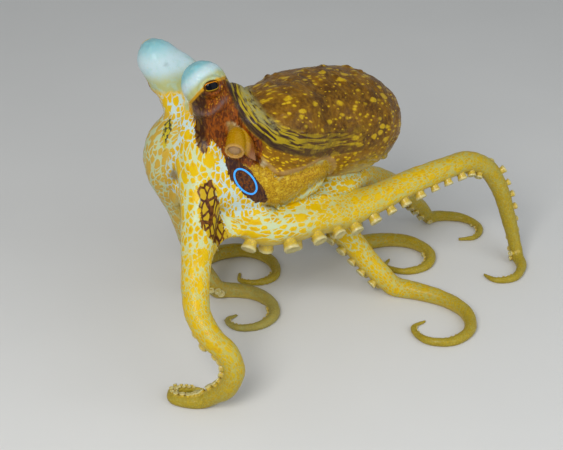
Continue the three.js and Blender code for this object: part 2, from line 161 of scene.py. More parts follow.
def smoothstep(low, high, value):
    t = np.clip((value - low) / (high - low), 0, 1)
    return t * t * (3 - 2 * t)


def bell(values, middle, width):
    """One at the middle, falling away to nothing on both sides."""
    return np.exp(-(((values - middle) / width) ** 2))


def eye_centre(side):
    stalk = STALKS[side]
    return np.array(stalk["dome"]) + EYE_OFFSET * unit(stalk["look"])


# Where the drawing's zero lies in the frame, read from the left eye's node.
low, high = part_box("eye_left")
ORIGIN = np.array((low + high) / 2) - eye_centre("left") * MM


def place(point):
    return np.asarray(point, float) * MM + ORIGIN


def drawn(point):
    return (np.asarray(point, float) - ORIGIN) / MM


def points_of(piece):
    places = np.empty(len(piece.data.vertices) * 3)
    piece.data.vertices.foreach_get("co", places)
    return drawn(places.reshape(-1, 3))


def normals_of(piece):
    normals = np.empty(len(piece.data.vertices) * 3)
    piece.data.vertex_normals.foreach_get("vector", normals)
    return normals.reshape(-1, 3)


def move_points(piece, points):
    piece.data.vertices.foreach_set("co", place(points).ravel())
    piece.data.update()


def select_only(*pieces):
    bpy.ops.object.select_all(action="DESELECT")
    for piece in pieces:
        piece.select_set(True)
    bpy.context.view_layer.objects.active = pieces[0]


def apply_place(piece):
    select_only(piece)
    bpy.ops.object.transform_apply(location=True, rotation=True, scale=True)


def use_modifier(piece, kind, **settings):
    select_only(piece)
    modifier = piece.modifiers.new(kind, kind)
    for key, value in settings.items():
        setattr(modifier, key, value)
    bpy.ops.object.modifier_apply(modifier=modifier.name)


def from_eye(points, side):
    return np.linalg.norm(points - eye_centre(side), axis=1)


# ---- The arms' middle lines ----
def smooth_route(way, count=ARM_STATIONS, steps=24):
    """Points on the smooth curve through the places, evenly spaced along it, and its length."""
    way = np.array(way, float)
    knots = np.vstack([2 * way[0] - way[1], way, 2 * way[-1] - way[-2]])
    t = np.linspace(0, 1, steps, endpoint=False)[:, None]
    stretches = []
    for p0, p1, p2, p3 in zip(knots, knots[1:], knots[2:], knots[3:]):
        d0, d1, d2 = (np.sqrt(np.linalg.norm(b - a)) for a, b in ((p0, p1), (p1, p2), (p2, p3)))
        m1 = ((p1 - p0) / d0 - (p2 - p0) / (d0 + d1) + (p2 - p1) / d1) * d1
        m2 = ((p2 - p1) / d1 - (p3 - p1) / (d1 + d2) + (p3 - p2) / d2) * d1
        bend = -3 * p1 + 3 * p2 - 2 * m1 - m2
        twist = 2 * p1 - 2 * p2 + m1 + m2
        stretches.append(p1 + m1 * t + bend * t**2 + twist * t**3)
    points = np.vstack(stretches + [way[-1:]])
    run = np.r_[0, np.cumsum(np.linalg.norm(np.diff(points, axis=0), axis=1))]
    even = np.linspace(0, run[-1], count)
    return np.stack([np.interp(even, run, axis) for axis in points.T], axis=1), run[-1]


class Arm:
    """An arm's stations: its middle, direction, the way its suckers face, and its radius, root to tip."""

    def __init__(
            self, name, way, root, swell, fade=26, taper=0.85, spacing=3.2, swell_at=0, hook=None,
            cup_height=1, showing=0):
        self.name = name
        self.spacing = spacing
        self.cup_height = cup_height  # how tall its suckers are, for their width
        middle, self.length = smooth_route(way)
        self.share = np.linspace(0, 1, ARM_STATIONS)
        self.run = self.share * self.length
        start = np.minimum(1, (self.run + 1.5) / ROUND_START)
        self.radius = TIP_RADIUS + (root - TIP_RADIUS) * (1 - self.share) ** taper
        self.radius += swell * bell(self.run, swell_at, fade)
        self.radius *= np.sqrt(1 - (1 - start) ** 2)
        resting = PRESSED * self.radius - 0.1
        over = middle[:, 2] - resting
        middle[:, 2] = resting + 0.5 * (over + np.sqrt(over * over + 3))
        self.middle = middle
        self.along = unit(np.gradient(middle, axis=0))
        self.oral = self.facing(hook, showing)
        self.across = np.cross(self.along, self.oral)

    def facing(self, hook, showing):
        """Down, inwards near the mouth, to the inside of a curl on the ground, or to the hook's middle.

        An arm that shows its suckers turns them outwards, away from the mouth's side.
        """
        height = self.middle[:, 2:]
        inward = MOUTH - self.middle
        inward[:, 2] = 0
        pull = -showing * smoothstep(-10, 70, self.run)[:, None] if showing else 0.7
        facing = np.array([0, 0, -1.0]) + pull * np.clip(height / 30, 0, 1) * unit(inward)
        steps = max(1, round(4 / self.length * ARM_STATIONS))
        ahead = np.vstack([self.along[steps:]] + [self.along[-1:]] * steps)
        behind = np.vstack([self.along[:1]] * steps + [self.along[:-steps]])
        curl = (ahead - behind) * (1, 1, 0)
        facing += 1.75 * np.clip(1.4 - height / 8, 0, 1) * curl
        if hook:
            share = smoothstep(0.36, 0.6, self.share)[:, None]
            facing = unit(facing) * (1 - share) + unit(np.array(hook) - self.middle) * share
        facing -= np.sum(facing * self.along, axis=1, keepdims=True) * self.along
        return unit(facing)

    def at(self, distance):
        """The middle, direction, sucker side, breadth side and radius at a distance from the root."""
        share = distance / self.length
        columns = (self.middle, self.along, self.oral, self.across)
        found = [np.array([np.interp(share, self.share, axis) for axis in column.T]) for column in columns]
        return (*found, np.interp(share, self.share, self.radius))


arms = {name: Arm(name, **shape) for name, shape in ARMS.items()}
ARM_NAMES = list(arms)


# ---- Flesh: rough solids, joined and meshed as one ----
def ball(name, at, radii, yaw=0, pitch=0):
    turn = Matrix.Rotation(np.radians(yaw), 4, "Z") @ Matrix.Rotation(np.radians(pitch), 4, "Y")
    bpy.ops.mesh.primitive_uv_sphere_add(
        segments=48, ring_count=32, radius=MM, location=place(at), rotation=turn.to_euler(), scale=radii)
    piece = bpy.context.object
    piece.name = name
    apply_place(piece)
    return piece


def tube(name, middles, radii, resolution=5, closed=True):
    """A round tube along a line, with its own radius at each point."""
    curve = bpy.data.curves.new(name, "CURVE")
    curve.dimensions = "3D"
    curve.bevel_depth = MM
    curve.bevel_resolution = resolution
    curve.use_fill_caps = closed
    line = curve.splines.new("POLY")
    line.points.add(len(middles) - 1)
    for point, middle, radius in zip(line.points, middles, radii):
        point.co = (*place(middle), 1)
        point.radius = radius
    piece = bpy.data.objects.new(name, curve)
    bpy.context.scene.collection.objects.link(piece)
    select_only(piece)
    bpy.ops.object.convert(target="MESH")
    return bpy.context.object


def stalk_line(stalk):
    """An eye stalk's middles and radii, from the skull to the top of its dome."""
    foot, dome = np.array(stalk["foot"], float), np.array(stalk["dome"], float)
    cap = stalk["radii"][3]
    height = np.linalg.norm(dome - foot)
    shares = np.linspace(0, 1, 13)
    radii = np.interp(shares, (0, 0.35, 0.66, 1), stalk["radii"])
    turns = np.radians(np.linspace(8, 88, 12))
    shares = np.r_[shares, 1 + cap * np.sin(turns) / height]
    radii = np.r_[radii, cap * np.cos(turns)]
    return foot + shares[:, None] * (dome - foot), radii


def mantle_line():
    shares, radii = np.array(MANTLE["profile"]).T
    fine = np.linspace(0, 1, 60)
    foot, top = np.array(MANTLE["foot"], float), np.array(MANTLE["top"], float)
    curved = np.interp(fine, shares, radii)
    curved[1:-1] = (curved[:-2] + curved[1:-1] + curved[2:]) / 3
    return foot + fine[:, None] * (top - foot), curved


def shoulder_line():
    foot, top = np.array(SHOULDER["foot"], float), np.array(SHOULDER["top"], float)
    shares = np.linspace(0, 1, 24)
    ends = np.sqrt(np.clip(1 - (2 * shares - 1) ** 8, 0.01, 1))
    return foot + shares[:, None] * (top - foot), np.interp(shares, (0, 0.4, 1), SHOULDER["radii"]) * ends


def sheet(across, down, where, thickness):
    """A thick skin over a grid; where gives a place from its shares across and down."""
    bpy.ops.mesh.primitive_grid_add(x_subdivisions=across, y_subdivisions=down, size=2)
    piece = bpy.context.object
    shares = np.array([vertex.co[:2] for vertex in piece.data.vertices]) / 2 + 0.5
    piece.matrix_world = Matrix.Identity(4)
    move_points(piece, np.array([where(*share) for share in shares]))
    use_modifier(piece, "SOLIDIFY", thickness=thickness * MM, offset=0)
    return piece


def joined(name, pieces):
    select_only(*pieces)
    bpy.ops.object.join()
    piece = bpy.context.object
    piece.name = name
    return piece


def arm_flesh(arm):
    """An arm: flatter on its sucker side, and pressed flat where it lies on the ground."""
    piece = tube("arm_" + arm.name, arm.middle, arm.radius)
    points = points_of(piece)
    sides = len(points) // ARM_STATIONS
    station = np.minimum(np.arange(len(points)) // sides, ARM_STATIONS - 1)
    offset = points - arm.middle[station]
    down = np.sum(offset * arm.oral[station], axis=1)
    offset -= (0.14 * np.maximum(down, 0))[:, None] * arm.oral[station]
    points = arm.middle[station] + offset
    lowest = np.array([points[station == i, 2].min() for i in range(ARM_STATIONS)])
    lift = np.maximum(0, -lowest - 0.2 * arm.radius)
    points[:, 2] = np.maximum(points[:, 2] + lift[station], 0)
    move_points(piece, points)
    return piece


def web_flesh(arms_between, start, end):
    """A thick skin hung between two arms, shorter in its middle."""
    def hung(across, down):
        reach = down * (1 - 0.5 * np.sin(np.pi * across))
        sides = [arms[name].at(a + (b - a) * reach)[0] for name, a, b in zip(arms_between, start, end)]
        return sides[0] * (1 - across) + sides[1] * across

    return sheet(10, 12, hung, WEB_THICKNESS)


def rough_flesh():
    parts = [ball(name, **shape) for name, shape in ELLIPSOIDS.items()]
    parts += [tube("stalk", *stalk_line(stalk), resolution=8) for stalk in STALKS.values()]
    parts += [tube("mantle", *mantle_line(), resolution=14), tube("shoulder", *shoulder_line())]
    parts += [arm_flesh(arm) for arm in arms.values()]
    parts += [web_flesh(**web) for web in WEBS]
    skin = joined("skin", parts)
    use_modifier(skin, "REMESH", mode="VOXEL", voxel_size=VOXEL * MM)
    return skin


# ---- How far a point is from each part ----
def from_ellipsoid(points, at, radii, yaw=0, pitch=0):
    turn = Matrix.Rotation(np.radians(yaw), 3, "Z") @ Matrix.Rotation(np.radians(pitch), 3, "Y")
    local = (points - np.array(at, float)) @ np.array(turn)
    radii = np.array(radii, float)
    inner = np.linalg.norm(local / radii, axis=1)
    return inner * (inner - 1) / np.maximum(np.linalg.norm(local / radii**2, axis=1), 1e-9)


def from_line(points, middles, radii):
    """The gap from each point to a tube, and the nearest station on it."""
    gap, station = np.empty(len(points)), np.empty(len(points), int)
    for first in range(0, len(points), 20000):
        some = points[first:first + 20000]
        squares = (some**2).sum(1)[:, None] + (middles**2).sum(1) - 2 * some @ middles.T
        nearest = squares.argmin(1)
        rows = np.arange(len(some))
        gap[first:first + 20000] = np.sqrt(np.maximum(squares[rows, nearest], 0)) - radii[nearest]
        station[first:first + 20000] = nearest
    return gap, station


def soft_least(gaps, softness):
    """The least of several gaps, rounded where two are alike."""
    least = gaps.min(0)
    return least - softness * np.log(np.exp(-(gaps - least) / softness).sum(0))


class Gaps:
    """The skin's points and normals, and how far each point is from the head, the mantle and every arm."""

    def __init__(self, skin):
        self.points = points = points_of(skin)
        self.normals = normals_of(skin)
        head_parts = [name for name in ELLIPSOIDS if name != "mantle lobe"]
        head = [from_ellipsoid(points, **ELLIPSOIDS[name]) for name in head_parts]
        self.stalks = {side: from_line(points, *stalk_line(stalk))[0] for side, stalk in STALKS.items()}
        self.brow = from_ellipsoid(points, **ELLIPSOIDS["right brow"])
        self.head = np.array(head + list(self.stalks.values()))
        tube_gap = from_line(points, *mantle_line())[0]
        shoulder_gap = from_line(points, *shoulder_line())[0]
        lobe_gap = from_ellipsoid(points, **ELLIPSOIDS["mantle lobe"])
        self.mantle = soft_least(np.array([tube_gap, lobe_gap, shoulder_gap]), 1.5)
        found = [from_line(points, arm.middle, arm.radius) for arm in arms.values()]
        self.arms = np.array([gap for gap, station in found])
        self.stations = np.array([station for gap, station in found])
        self.rest = np.vstack([self.head, self.arms])
        self.fused = smoothstep(75, 83, points[:, 2])  # higher up the mantle is one with the head


# ---- Shaping the skin ----
# How wide the creases are that soft flesh fills, and how deep a crease it can fill, in millimetres.
ARM_SOFTNESS = 0.35
WEB_SOFTNESS = 2.0
HEAD_SOFTNESS = 3.5
FILL_LIMIT = 5


def smooth(piece, turns):
    use_modifier(piece, "SMOOTH", factor=0.5, iterations=turns)


def soften(piece, share, turns):
    """Smooths only where the share is more than zero."""
    group = piece.vertex_groups.new(name="soften")
    for level in np.unique(np.round(share, 1)):
        if level > 0:
            group.add(np.nonzero(np.round(share, 1) == level)[0].tolist(), level, "REPLACE")
    use_modifier(piece, "SMOOTH", factor=0.5, iterations=turns, vertex_group="soften")
    piece.vertex_groups.clear()


def raise_the_skin(skin, height):
    """Moves the skin outwards by the height, in millimetres, that a function gives at each of its points."""
    gaps = Gaps(skin)
    move_points(skin, gaps.points + gaps.normals * height(gaps)[:, None])


def joins_filled(gaps):
    """How far soft flesh fills the creases between the head's parts and the arms."""
    softness = ARM_SOFTNESS + 1.5 * smoothstep(22, 48, gaps.points[:, 2])
    # Skin joins the two rear left arms for a way out.
    rearward = gaps.points[:, 0]
    third, fourth = [gaps.arms[ARM_NAMES.index(name)] for name in ("left_3", "left_4")]
    between = smoothstep(5, 1, np.abs(third - fourth))
    softness += WEB_SOFTNESS * smoothstep(56, 40, rearward) * between * (rearward > 14)
    rest = soft_least(gaps.rest, softness)
    apart = np.minimum(rest, gaps.mantle)
    as_one = soft_least(np.array([rest, gaps.mantle]), HEAD_SOFTNESS)
    return np.clip(-(apart * (1 - gaps.fused) + as_one * gaps.fused), 0, FILL_LIMIT)


def finer(skin, wanted):
    """Divides the wanted faces once more."""
    centres = np.empty(len(skin.data.polygons) * 3)
    skin.data.polygons.foreach_get("center", centres)
    chosen = wanted(drawn(centres.reshape(-1, 3)))
    select_only(skin)
    skin.data.vertices.foreach_set("select", np.zeros(len(skin.data.vertices), bool))
    skin.data.edges.foreach_set("select", np.zeros(len(skin.data.edges), bool))
    skin.data.polygons.foreach_set("select", chosen)
    bpy.ops.object.mode_set(mode="EDIT")
    bpy.ops.mesh.select_mode(type="FACE")
    bpy.ops.mesh.subdivide(number_cuts=1, smoothness=0.6)
    bpy.ops.object.mode_set(mode="OBJECT")


def soften_the_neck(skin):
    """Takes out the folds between the cheek and the neck, under the mantle's edge."""
    gaps = Gaps(skin)
    share = [smoothstep(2, -1, from_outline(flat, MARKINGS["neck"]["outline"])) * facing
             for flat, facing in both_sides(gaps.points, gaps.normals)]
    soften(skin, np.maximum(*share) * smoothstep(0.3, 1.5, gaps.mantle), 24)


def near_the_face(centres):
    """Round the eyes and along the mantle's free edge."""
    close = [from_eye(centres, side) < 9.5 for side in STALKS]
    rim = (from_ellipsoid(centres, **ELLIPSOIDS["mantle lobe"]) < 2.5) & (centres[:, 1] < 4)
    return close[0] | close[1] | (rim & (centres[:, 0] < 32))


def eye_axes(side):
    """Across, up and out of the eye, as its bar pupil lies."""
    out = unit(GAZE[side])
    across = unit(np.cross((0, 0, 1), out))
    tilt = np.radians(EYE_TILT[side])
    up = np.cross(out, across)
    cosine, sine = np.cos(tilt), np.sin(tilt)
    return np.array([across * cosine + up * sine, up * cosine - across * sine, out])


def fold_the_lids(skin):
    """Draws the skin over each eyeball and opens the lids on it."""
    points = points_of(skin)
    for side in STALKS:
        centre, axes = eye_centre(side), eye_axes(side)
        local = (points - centre) @ axes.T
        distance = np.linalg.norm(local, axis=1)
        spread = local[:, :2] / np.maximum(distance, 1e-6)[:, None] * EYE_RADIUS
        opening = np.hypot(spread[:, 0] / LID_OPENING[0], spread[:, 1] / LID_OPENING[1])
        front = (local[:, 2] > 0) & (distance < EYE_RADIUS + 4)
        cover = EYE_RADIUS + LID_COVER * smoothstep(3.0, 1.25, opening)
        cover += LID_EDGE["height"] * bell(opening, LID_EDGE["at"], LID_EDGE["width"])
        crease = LID_CREASE["height"] * bell(opening, LID_CREASE["at"], LID_CREASE["width"])
        wanted = np.maximum(distance, cover) - crease
        open_share = smoothstep(1.14, 0.92, opening)
        wanted = wanted * (1 - open_share) + (EYE_RADIUS - BEHIND_THE_LIDS) * open_share
        wanted = np.where(front, wanted, distance)
        points = centre + (points - centre) * (wanted / np.maximum(distance, 1e-6))[:, None]
    move_points(skin, points)


def mantle_edge(gaps):
    """A thin lip along the mantle's free edge, with a groove between it and the neck."""
    ahead = gaps.rest.min(0) - gaps.mantle  # more than zero on the mantle's side
    seam = bell(np.minimum(gaps.rest.min(0), 9), 0, 2.5)
    lip = 0.8 * bell(ahead, 1.3, 1.2)
    groove = 0.9 * bell(ahead, -0.9, 1.1)
    near = smoothstep(4, 1.5, gaps.mantle)
    return (lip * np.maximum(seam, 0.6) - groove) * near * (1 - gaps.fused)


# ---- Places on the animal's sides ----
SIDE_EYE = np.array([19.8, -399.4, 271.2])  # from here its left side is seen from a little above
CAMERA_PITCH = 60  # degrees from straight down
SIDE_UP = np.array([0, 0.5, 0.866])
SIDE_DEPTH = np.array([0, 0.866, -0.5])
SIDE_REACH = 443  # the distance at which a millimetre across is one of the side view's
HEAD_MIDDLE = (1.5, 2, 75)
HEAD_ACROSS = unit((-0.65, 0.76, 0))
HEAD_FORWARD = unit((-0.76, -0.65, 0))
HEAD_LEAN = 7.9  # to its right, between its base and the height of the eyes


def seen_from_the_side(points):
    """Millimetres across and up, as the animal's left side is seen from a little above."""
    offset = points - SIDE_EYE
    scale = SIDE_REACH / (offset @ SIDE_DEPTH)
    return np.stack([offset[:, 0] * scale, offset @ SIDE_UP * scale], axis=1)


def beyond_the_middle(points):
    """How far a point is past the head's middle, which leans to its right higher up."""
    lean = HEAD_LEAN * smoothstep(75, 97, points[:, 2])
    return (points - HEAD_MIDDLE) @ HEAD_ACROSS - lean


def both_sides(points, normals):
    """The side-on places of every point, and how much the point faces that side, left then right."""
    left_dot = np.sum(normals * unit(SIDE_EYE - points), axis=1)
    beyond = beyond_the_middle(points)
    behind = smoothstep(0, -5, (points - HEAD_MIDDLE) @ HEAD_FORWARD) * smoothstep(2, 4, beyond)
    left = smoothstep(-0.25, 0.1, left_dot) * (1 - behind)
    other = points - 2 * beyond[:, None] * HEAD_ACROSS
    other_normals = normals - 2 * (normals @ HEAD_ACROSS)[:, None] * HEAD_ACROSS
    right = smoothstep(-0.35, 0, np.sum(other_normals * unit(SIDE_EYE - other), axis=1) + 0.3 * behind)
    right *= np.maximum(smoothstep(0.25, -0.05, left_dot), behind)
    right *= smoothstep(2, 4, beyond + 8 * smoothstep(0, -0.3, left_dot)) * smoothstep(27, 24, beyond)
    # The skin turns every way in the lids' folds, so there the nearness of the eye decides.
    by_eye = [smoothstep(7.5, 6, from_eye(points, side)) for side in STALKS]
    left, right = np.maximum(left, by_eye[0]), np.maximum(right, by_eye[1])
    return (seen_from_the_side(points), left), (seen_from_the_side(other), right)


def from_outline(flat, outline):
    """Distance outside a closed outline, less than zero within it."""
    corners = np.array(outline, float)
    nearest = np.full(len(flat), 1e9)
    inside = np.zeros(len(flat), bool)
    for start, end in zip(corners, np.roll(corners, -1, axis=0)):
        edge, offset = end - start, flat - start
        share = np.clip(offset @ edge / (edge @ edge), 0, 1)
        nearest = np.minimum(nearest, np.linalg.norm(offset - share[:, None] * edge, axis=1))
        crosses = (start[1] > flat[:, 1]) != (end[1] > flat[:, 1])
        with np.errstate(divide="ignore", invalid="ignore"):
            at = start[0] + (flat[:, 1] - start[1]) * edge[0] / edge[1]
        inside ^= crosses & (flat[:, 0] < at)
    return np.where(inside, -nearest, nearest)


def from_path(flat, path):
    """Distance to the left of an open path (less than zero to its right), and how far along it."""
    corners = np.array(path, float)
    gap, along = np.full(len(flat), 1e9), np.zeros(len(flat))
    done = 0.0
    for start, end in zip(corners, corners[1:]):
        edge, offset = end - start, flat - start
        share = np.clip(offset @ edge / (edge @ edge), 0, 1)
        distance = np.linalg.norm(offset - share[:, None] * edge, axis=1)
        turn = np.sign(edge[0] * offset[:, 1] - edge[1] * offset[:, 0])
        closer = distance < np.abs(gap)
        gap = np.where(closer, distance * turn, gap)
        length = np.linalg.norm(edge)
        along = np.where(closer, done + share * length, along)
        done += length
    return gap, along


# Raised (or sunk) lines in the skin, in side-on places.
FOLDS = {
    "eye pouch": dict(
        path=((-30, 39.5), (-27.5, 37), (-24, 37), (-21, 39), (-18.5, 42)), height=0.55, width=0.8),
    "under the pouch": dict(
        path=((-31, 37), (-27.5, 34.8), (-23, 34.8), (-19.5, 37.5), (-17.5, 40.5)), height=-0.35, width=0.7),
    "under the lid": dict(
        path=((-28.5, 43.5), (-26.5, 41.8), (-23, 41.6), (-20, 43.4)), height=-0.25, width=0.5),
    "behind the bar": dict(path=((-13.5, 35), (-9.5, 29.5), (-6.5, 23.5)), height=0.4, width=0.8),
    "under the neck": dict(
        path=((-6.5, 6.8), (-2, 5.8), (2, 7.5), (8, 11.5), (15, 16.5)), height=-0.8, width=0.8),
    "down the front": dict(
        path=((-31.5, 43), (-34, 37), (-35, 30), (-34, 22), (-32, 14)), height=-0.35, width=1.0),
}


def folds_and_creases(gaps):
    """The lines of FOLDS, on both sides, which fade out at their ends."""
    shift = np.zeros(len(gaps.points))
    for flat, share in both_sides(gaps.points, gaps.normals):
        for fold in FOLDS.values():
            gap, along = from_path(flat, fold["path"])
            reach = np.linalg.norm(np.diff(np.array(fold["path"]), axis=0), axis=1).sum()
            fade = smoothstep(0, 2, along) * smoothstep(reach, reach - 2, along)
            shift += fold["height"] * bell(gap, 0, fold["width"]) * fade * share
    return shift


SWELLS = ((6.5, 0.5), (2.6, 0.28))  # how wide the skin's swellings are, and how high
WARTS = dict(size=3.4, height=2.6, least=0.38, seed=Vector((40, 7, 13)))  # a higher least makes fewer


def wrinkles(gaps):
    """Low, soft unevenness, rougher over the mantle, where small warts also stand up."""
    points = gaps.points
    on_mantle = smoothstep(1, -1, gaps.mantle - gaps.rest.min(0))
    off_the_eyes = smoothstep(8.5, 10.5, np.minimum(*[from_eye(points, side) for side in STALKS]))
    clear = smoothstep(0.3, 3, points[:, 2]) * off_the_eyes
    height = np.zeros(len(points))
    for index in np.nonzero(clear > 0)[0]:
        at = Vector(points[index])
        swell = sum(noise.noise(at / size) * high for size, high in SWELLS)
        wart = max(0.0, noise.noise(at / WARTS["size"] + WARTS["seed"]) - WARTS["least"]) * WARTS["height"]
        wart *= on_mantle[index]
        height[index] = clear[index] * (swell * (0.5 + 0.5 * on_mantle[index]) + wart)
    return height


# ---- Markings: what colour goes where, as numbers kept on the skin's points ----
MARKINGS = {
    "eye_bar": dict(soft=1.3, outline=(
        (-30, 40.5), (-27.5, 43.2), (-25.3, 45.4), (-22.7, 47.4), (-19.5, 48.4), (-16, 49.2), (-14.5, 45),
        (-12, 40), (-9, 35), (-6.5, 30), (-6, 26.5), (-7, 20.5), (-10.5, 19.5), (-15, 20.5), (-19, 22.5),
        (-21, 26), (-23.5, 28.5), (-24.5, 26.5), (-25, 24), (-27, 24), (-28, 26.5), (-29, 30),
        (-29, 34.5), (-29.5, 37.5))),
    "dark_bar": dict(soft=0.8, outline=(
        (-27.5, 44.5), (-25, 45), (-25, 41), (-25.5, 36.5), (-24.6, 24), (-27, 24), (-28, 26.5), (-29, 30),
        (-29, 34.5), (-29.5, 37.5), (-31.5, 40.5))),
    "spindle": dict(soft=0.6, outline=(
        (-19, 23), (-14.5, 21.5), (-10.5, 18.5), (-6.5, 13), (-4.5, 9), (-5, 7.5), (-9, 7.5), (-13, 10.5),
        (-17, 15.5), (-18.5, 19.5))),
    "netted": dict(soft=1.1, outline=(
        (-27, 14), (-23.5, 15), (-21.5, 12), (-21, 7), (-20.5, 3.5), (-19, -0.5), (-18, -3.5),
        (-18.5, -5.5), (-21, -9.5), (-21.5, -7), (-24, -4.5), (-26.5, -1), (-27, 2.5), (-27.5, 7),
        (-28, 11.5))),
    "streaks": dict(soft=0.8, outline=(
        (-37.5, 35.5), (-36.5, 34.5), (-37, 31), (-38, 28.5), (-39, 24), (-39.5, 27.5), (-39.5, 32),
        (-38.5, 34.5))),
    "spot": dict(soft=0.6, outline=((-36, 19), (-35, 17.5), (-34.5, 15), (-36, 15), (-37.5, 16.5))),
    "neck": dict(soft=1.4, outline=(
        (-13.5, 22.5), (-4, 21.5), (5, 20), (12.5, 21), (19, 23), (33, 28), (33, 22), (19, 18),
        (10, 13.5), (3, 9), (-1, 6.3), (-5, 6.3), (-6, 9), (-9, 14), (-12.5, 18.5), (-15.5, 21))),
    "strip": dict(soft=0.6, outline=(
        (-18.8, 49.5), (-18.2, 46), (-15.2, 39), (-11, 32.5), (-6, 27.3), (0, 24), (8, 22), (16, 20.7),
        (30, 21), (40, 36), (16, 32), (5, 36), (-2, 42), (-8, 48), (-13, 52), (-17, 51))),
    "notch": dict(soft=0.5, outline=((-17.9, 34), (-16.8, 34), (-15.3, 33), (-13.7, 31), (-17.2, 30))),
    "corner": dict(soft=0.5, outline=((-7.5, 21.8), (-6, 21.3), (-4.8, 20.2), (-5.8, 19.3), (-7, 19.8))),
    "freckles": dict(soft=0.5, outline=((-39.3, 53.6), (-38.3, 54.2), (-37.8, 53.4), (-38.6, 52.8))),
}
LEFT_ONLY = ("netted", "streaks", "spot", "notch", "corner", "freckles")
# The path of a pale line painted along the notch's rim, a painted highlight.
NOTCH_RIM = ((-17.2, 31), (-18.2, 33.6), (-17.2, 34.4), (-15.6, 33.5), (-13.6, 31.6), (-12.2, 29.4))
RING_CENTRE = (-12, 14.5)
RING_HALVES = (4.9, 2.7)
RING_TURN = np.radians(-51)
STRIPE = ((-18.2, 47), (-14.9, 39), (-10, 32.5), (-3, 26.8), (5, 24.2), (14, 23.7), (26, 26), (40, 32))
CAP_REACH = {"left": 1.1, "right": 7.4}  # how far below the dome's middle its edge lies
CAP_HEIGHT = {"left": 5.8, "right": 14}
CAP_SLANT = {"left": (-0.62, 0.4, 0.68), "right": (-0.2, 0, 1)}
MANTLE_GIRTH = 18  # its usual radius, round which its pattern is laid
ARM_APART = 50  # how far apart the arms' straightened places lie, so that no two arms share a pattern


def keep(piece, name, values, kind="FLOAT"):
    """Keeps a value on each of a piece's points, for its material."""
    layer = piece.data.attributes.new(name, kind, "POINT")
    layer.data.foreach_set("value" if kind == "FLOAT" else "vector", np.asarray(values, np.float32).ravel())


def from_ring(flat):
    """Distance outside the ring's middle line, less than zero within it."""
    cosine, sine = np.cos(RING_TURN), np.sin(RING_TURN)
    turned = (flat - RING_CENTRE) @ np.array([[cosine, -sine], [sine, cosine]])
    scaled = turned / RING_HALVES
    size = np.maximum(np.linalg.norm(scaled, axis=1), 1e-6)
    return size * (size - 1) / np.maximum(np.linalg.norm(scaled / RING_HALVES, axis=1), 1e-6)


def mark_the_sides(skin, gaps):
    sides = both_sides(gaps.points, gaps.normals)
    for name, marking in MARKINGS.items():
        share = [smoothstep(marking["soft"], -marking["soft"], from_outline(flat, marking["outline"])) * side
                 for flat, side in sides]
        share = share[0] if name in LEFT_ONLY else np.maximum(*share)
        if name == "strip":
            share *= smoothstep(70, 76, gaps.points[:, 2])
        keep(skin, name, share)
    (left_flat, left), (right_flat, right) = sides
    flat = np.where((right > left)[:, None], right_flat, left_flat)
    keep(skin, "ring_gap", np.clip(from_ring(flat), -9, 9))
    gap, along = from_path(flat, STRIPE)
    keep(skin, "stripe_gap", np.where(np.maximum(left, right) > 0.3, np.clip(gap, -30, 30), 30))
    keep(skin, "stripe_place", np.c_[gap, along, np.zeros(len(gap))] * MM, "FLOAT_VECTOR")
    on_left = (left > right) * left
    for name, path, width, share in (
            # fold: where a painted highlight runs along the eye pouch
            ("fold", FOLDS["eye pouch"]["path"], 1.0, np.maximum(left, right)),
            # notch_rim_highlight: a painted highlight along the notch's rim
            ("notch_rim_highlight", NOTCH_RIM, 0.32, on_left),
            # crease: painted shade along the sunk fold under the neck
            ("crease", FOLDS["under the neck"]["path"], 0.5, on_left)):
        keep(skin, name, bell(from_path(flat, path)[0], 0, width) * share)


def mark_the_caps(skin, gaps):
    """The pale cap over each eye, down to a slanting edge."""
    points = gaps.points
    cap, rise, whole = np.zeros((3, len(points)))
    for side, stalk in STALKS.items():
        local = (points - eye_centre(side)) @ eye_axes(side).T
        above = (points - stalk["dome"]) @ unit(CAP_SLANT[side]) + CAP_REACH[side]
        on_stalk = smoothstep(5, 3, np.minimum(gaps.stalks[side], np.where(side == "right", gaps.brow, 9)))
        lid = smoothstep(1.7, 0.5, local[:, 1] + 0.1 * local[:, 0] ** 2) * smoothstep(1, 3, local[:, 2])
        reached = smoothstep(-4.5, 1.2, above) * on_stalk
        whole = np.maximum(whole, reached)
        share = reached * (1 - lid)
        rise = np.where(share > cap, above / CAP_HEIGHT[side], rise)
        cap = np.maximum(cap, share)
    # The valley: a dark line painted where the left stalk meets the right stalk and brow, as painted shade
    # in that crease.
    between = gaps.stalks["left"] - np.minimum(gaps.stalks["right"], gaps.brow)
    keep(skin, "valley_shade", bell(between, 0, 0.7) * smoothstep(86, 91, points[:, 2]))
    keep(skin, "cap", cap)
    keep(skin, "cap_and_lid", whole)
    keep(skin, "cap_rise", rise)


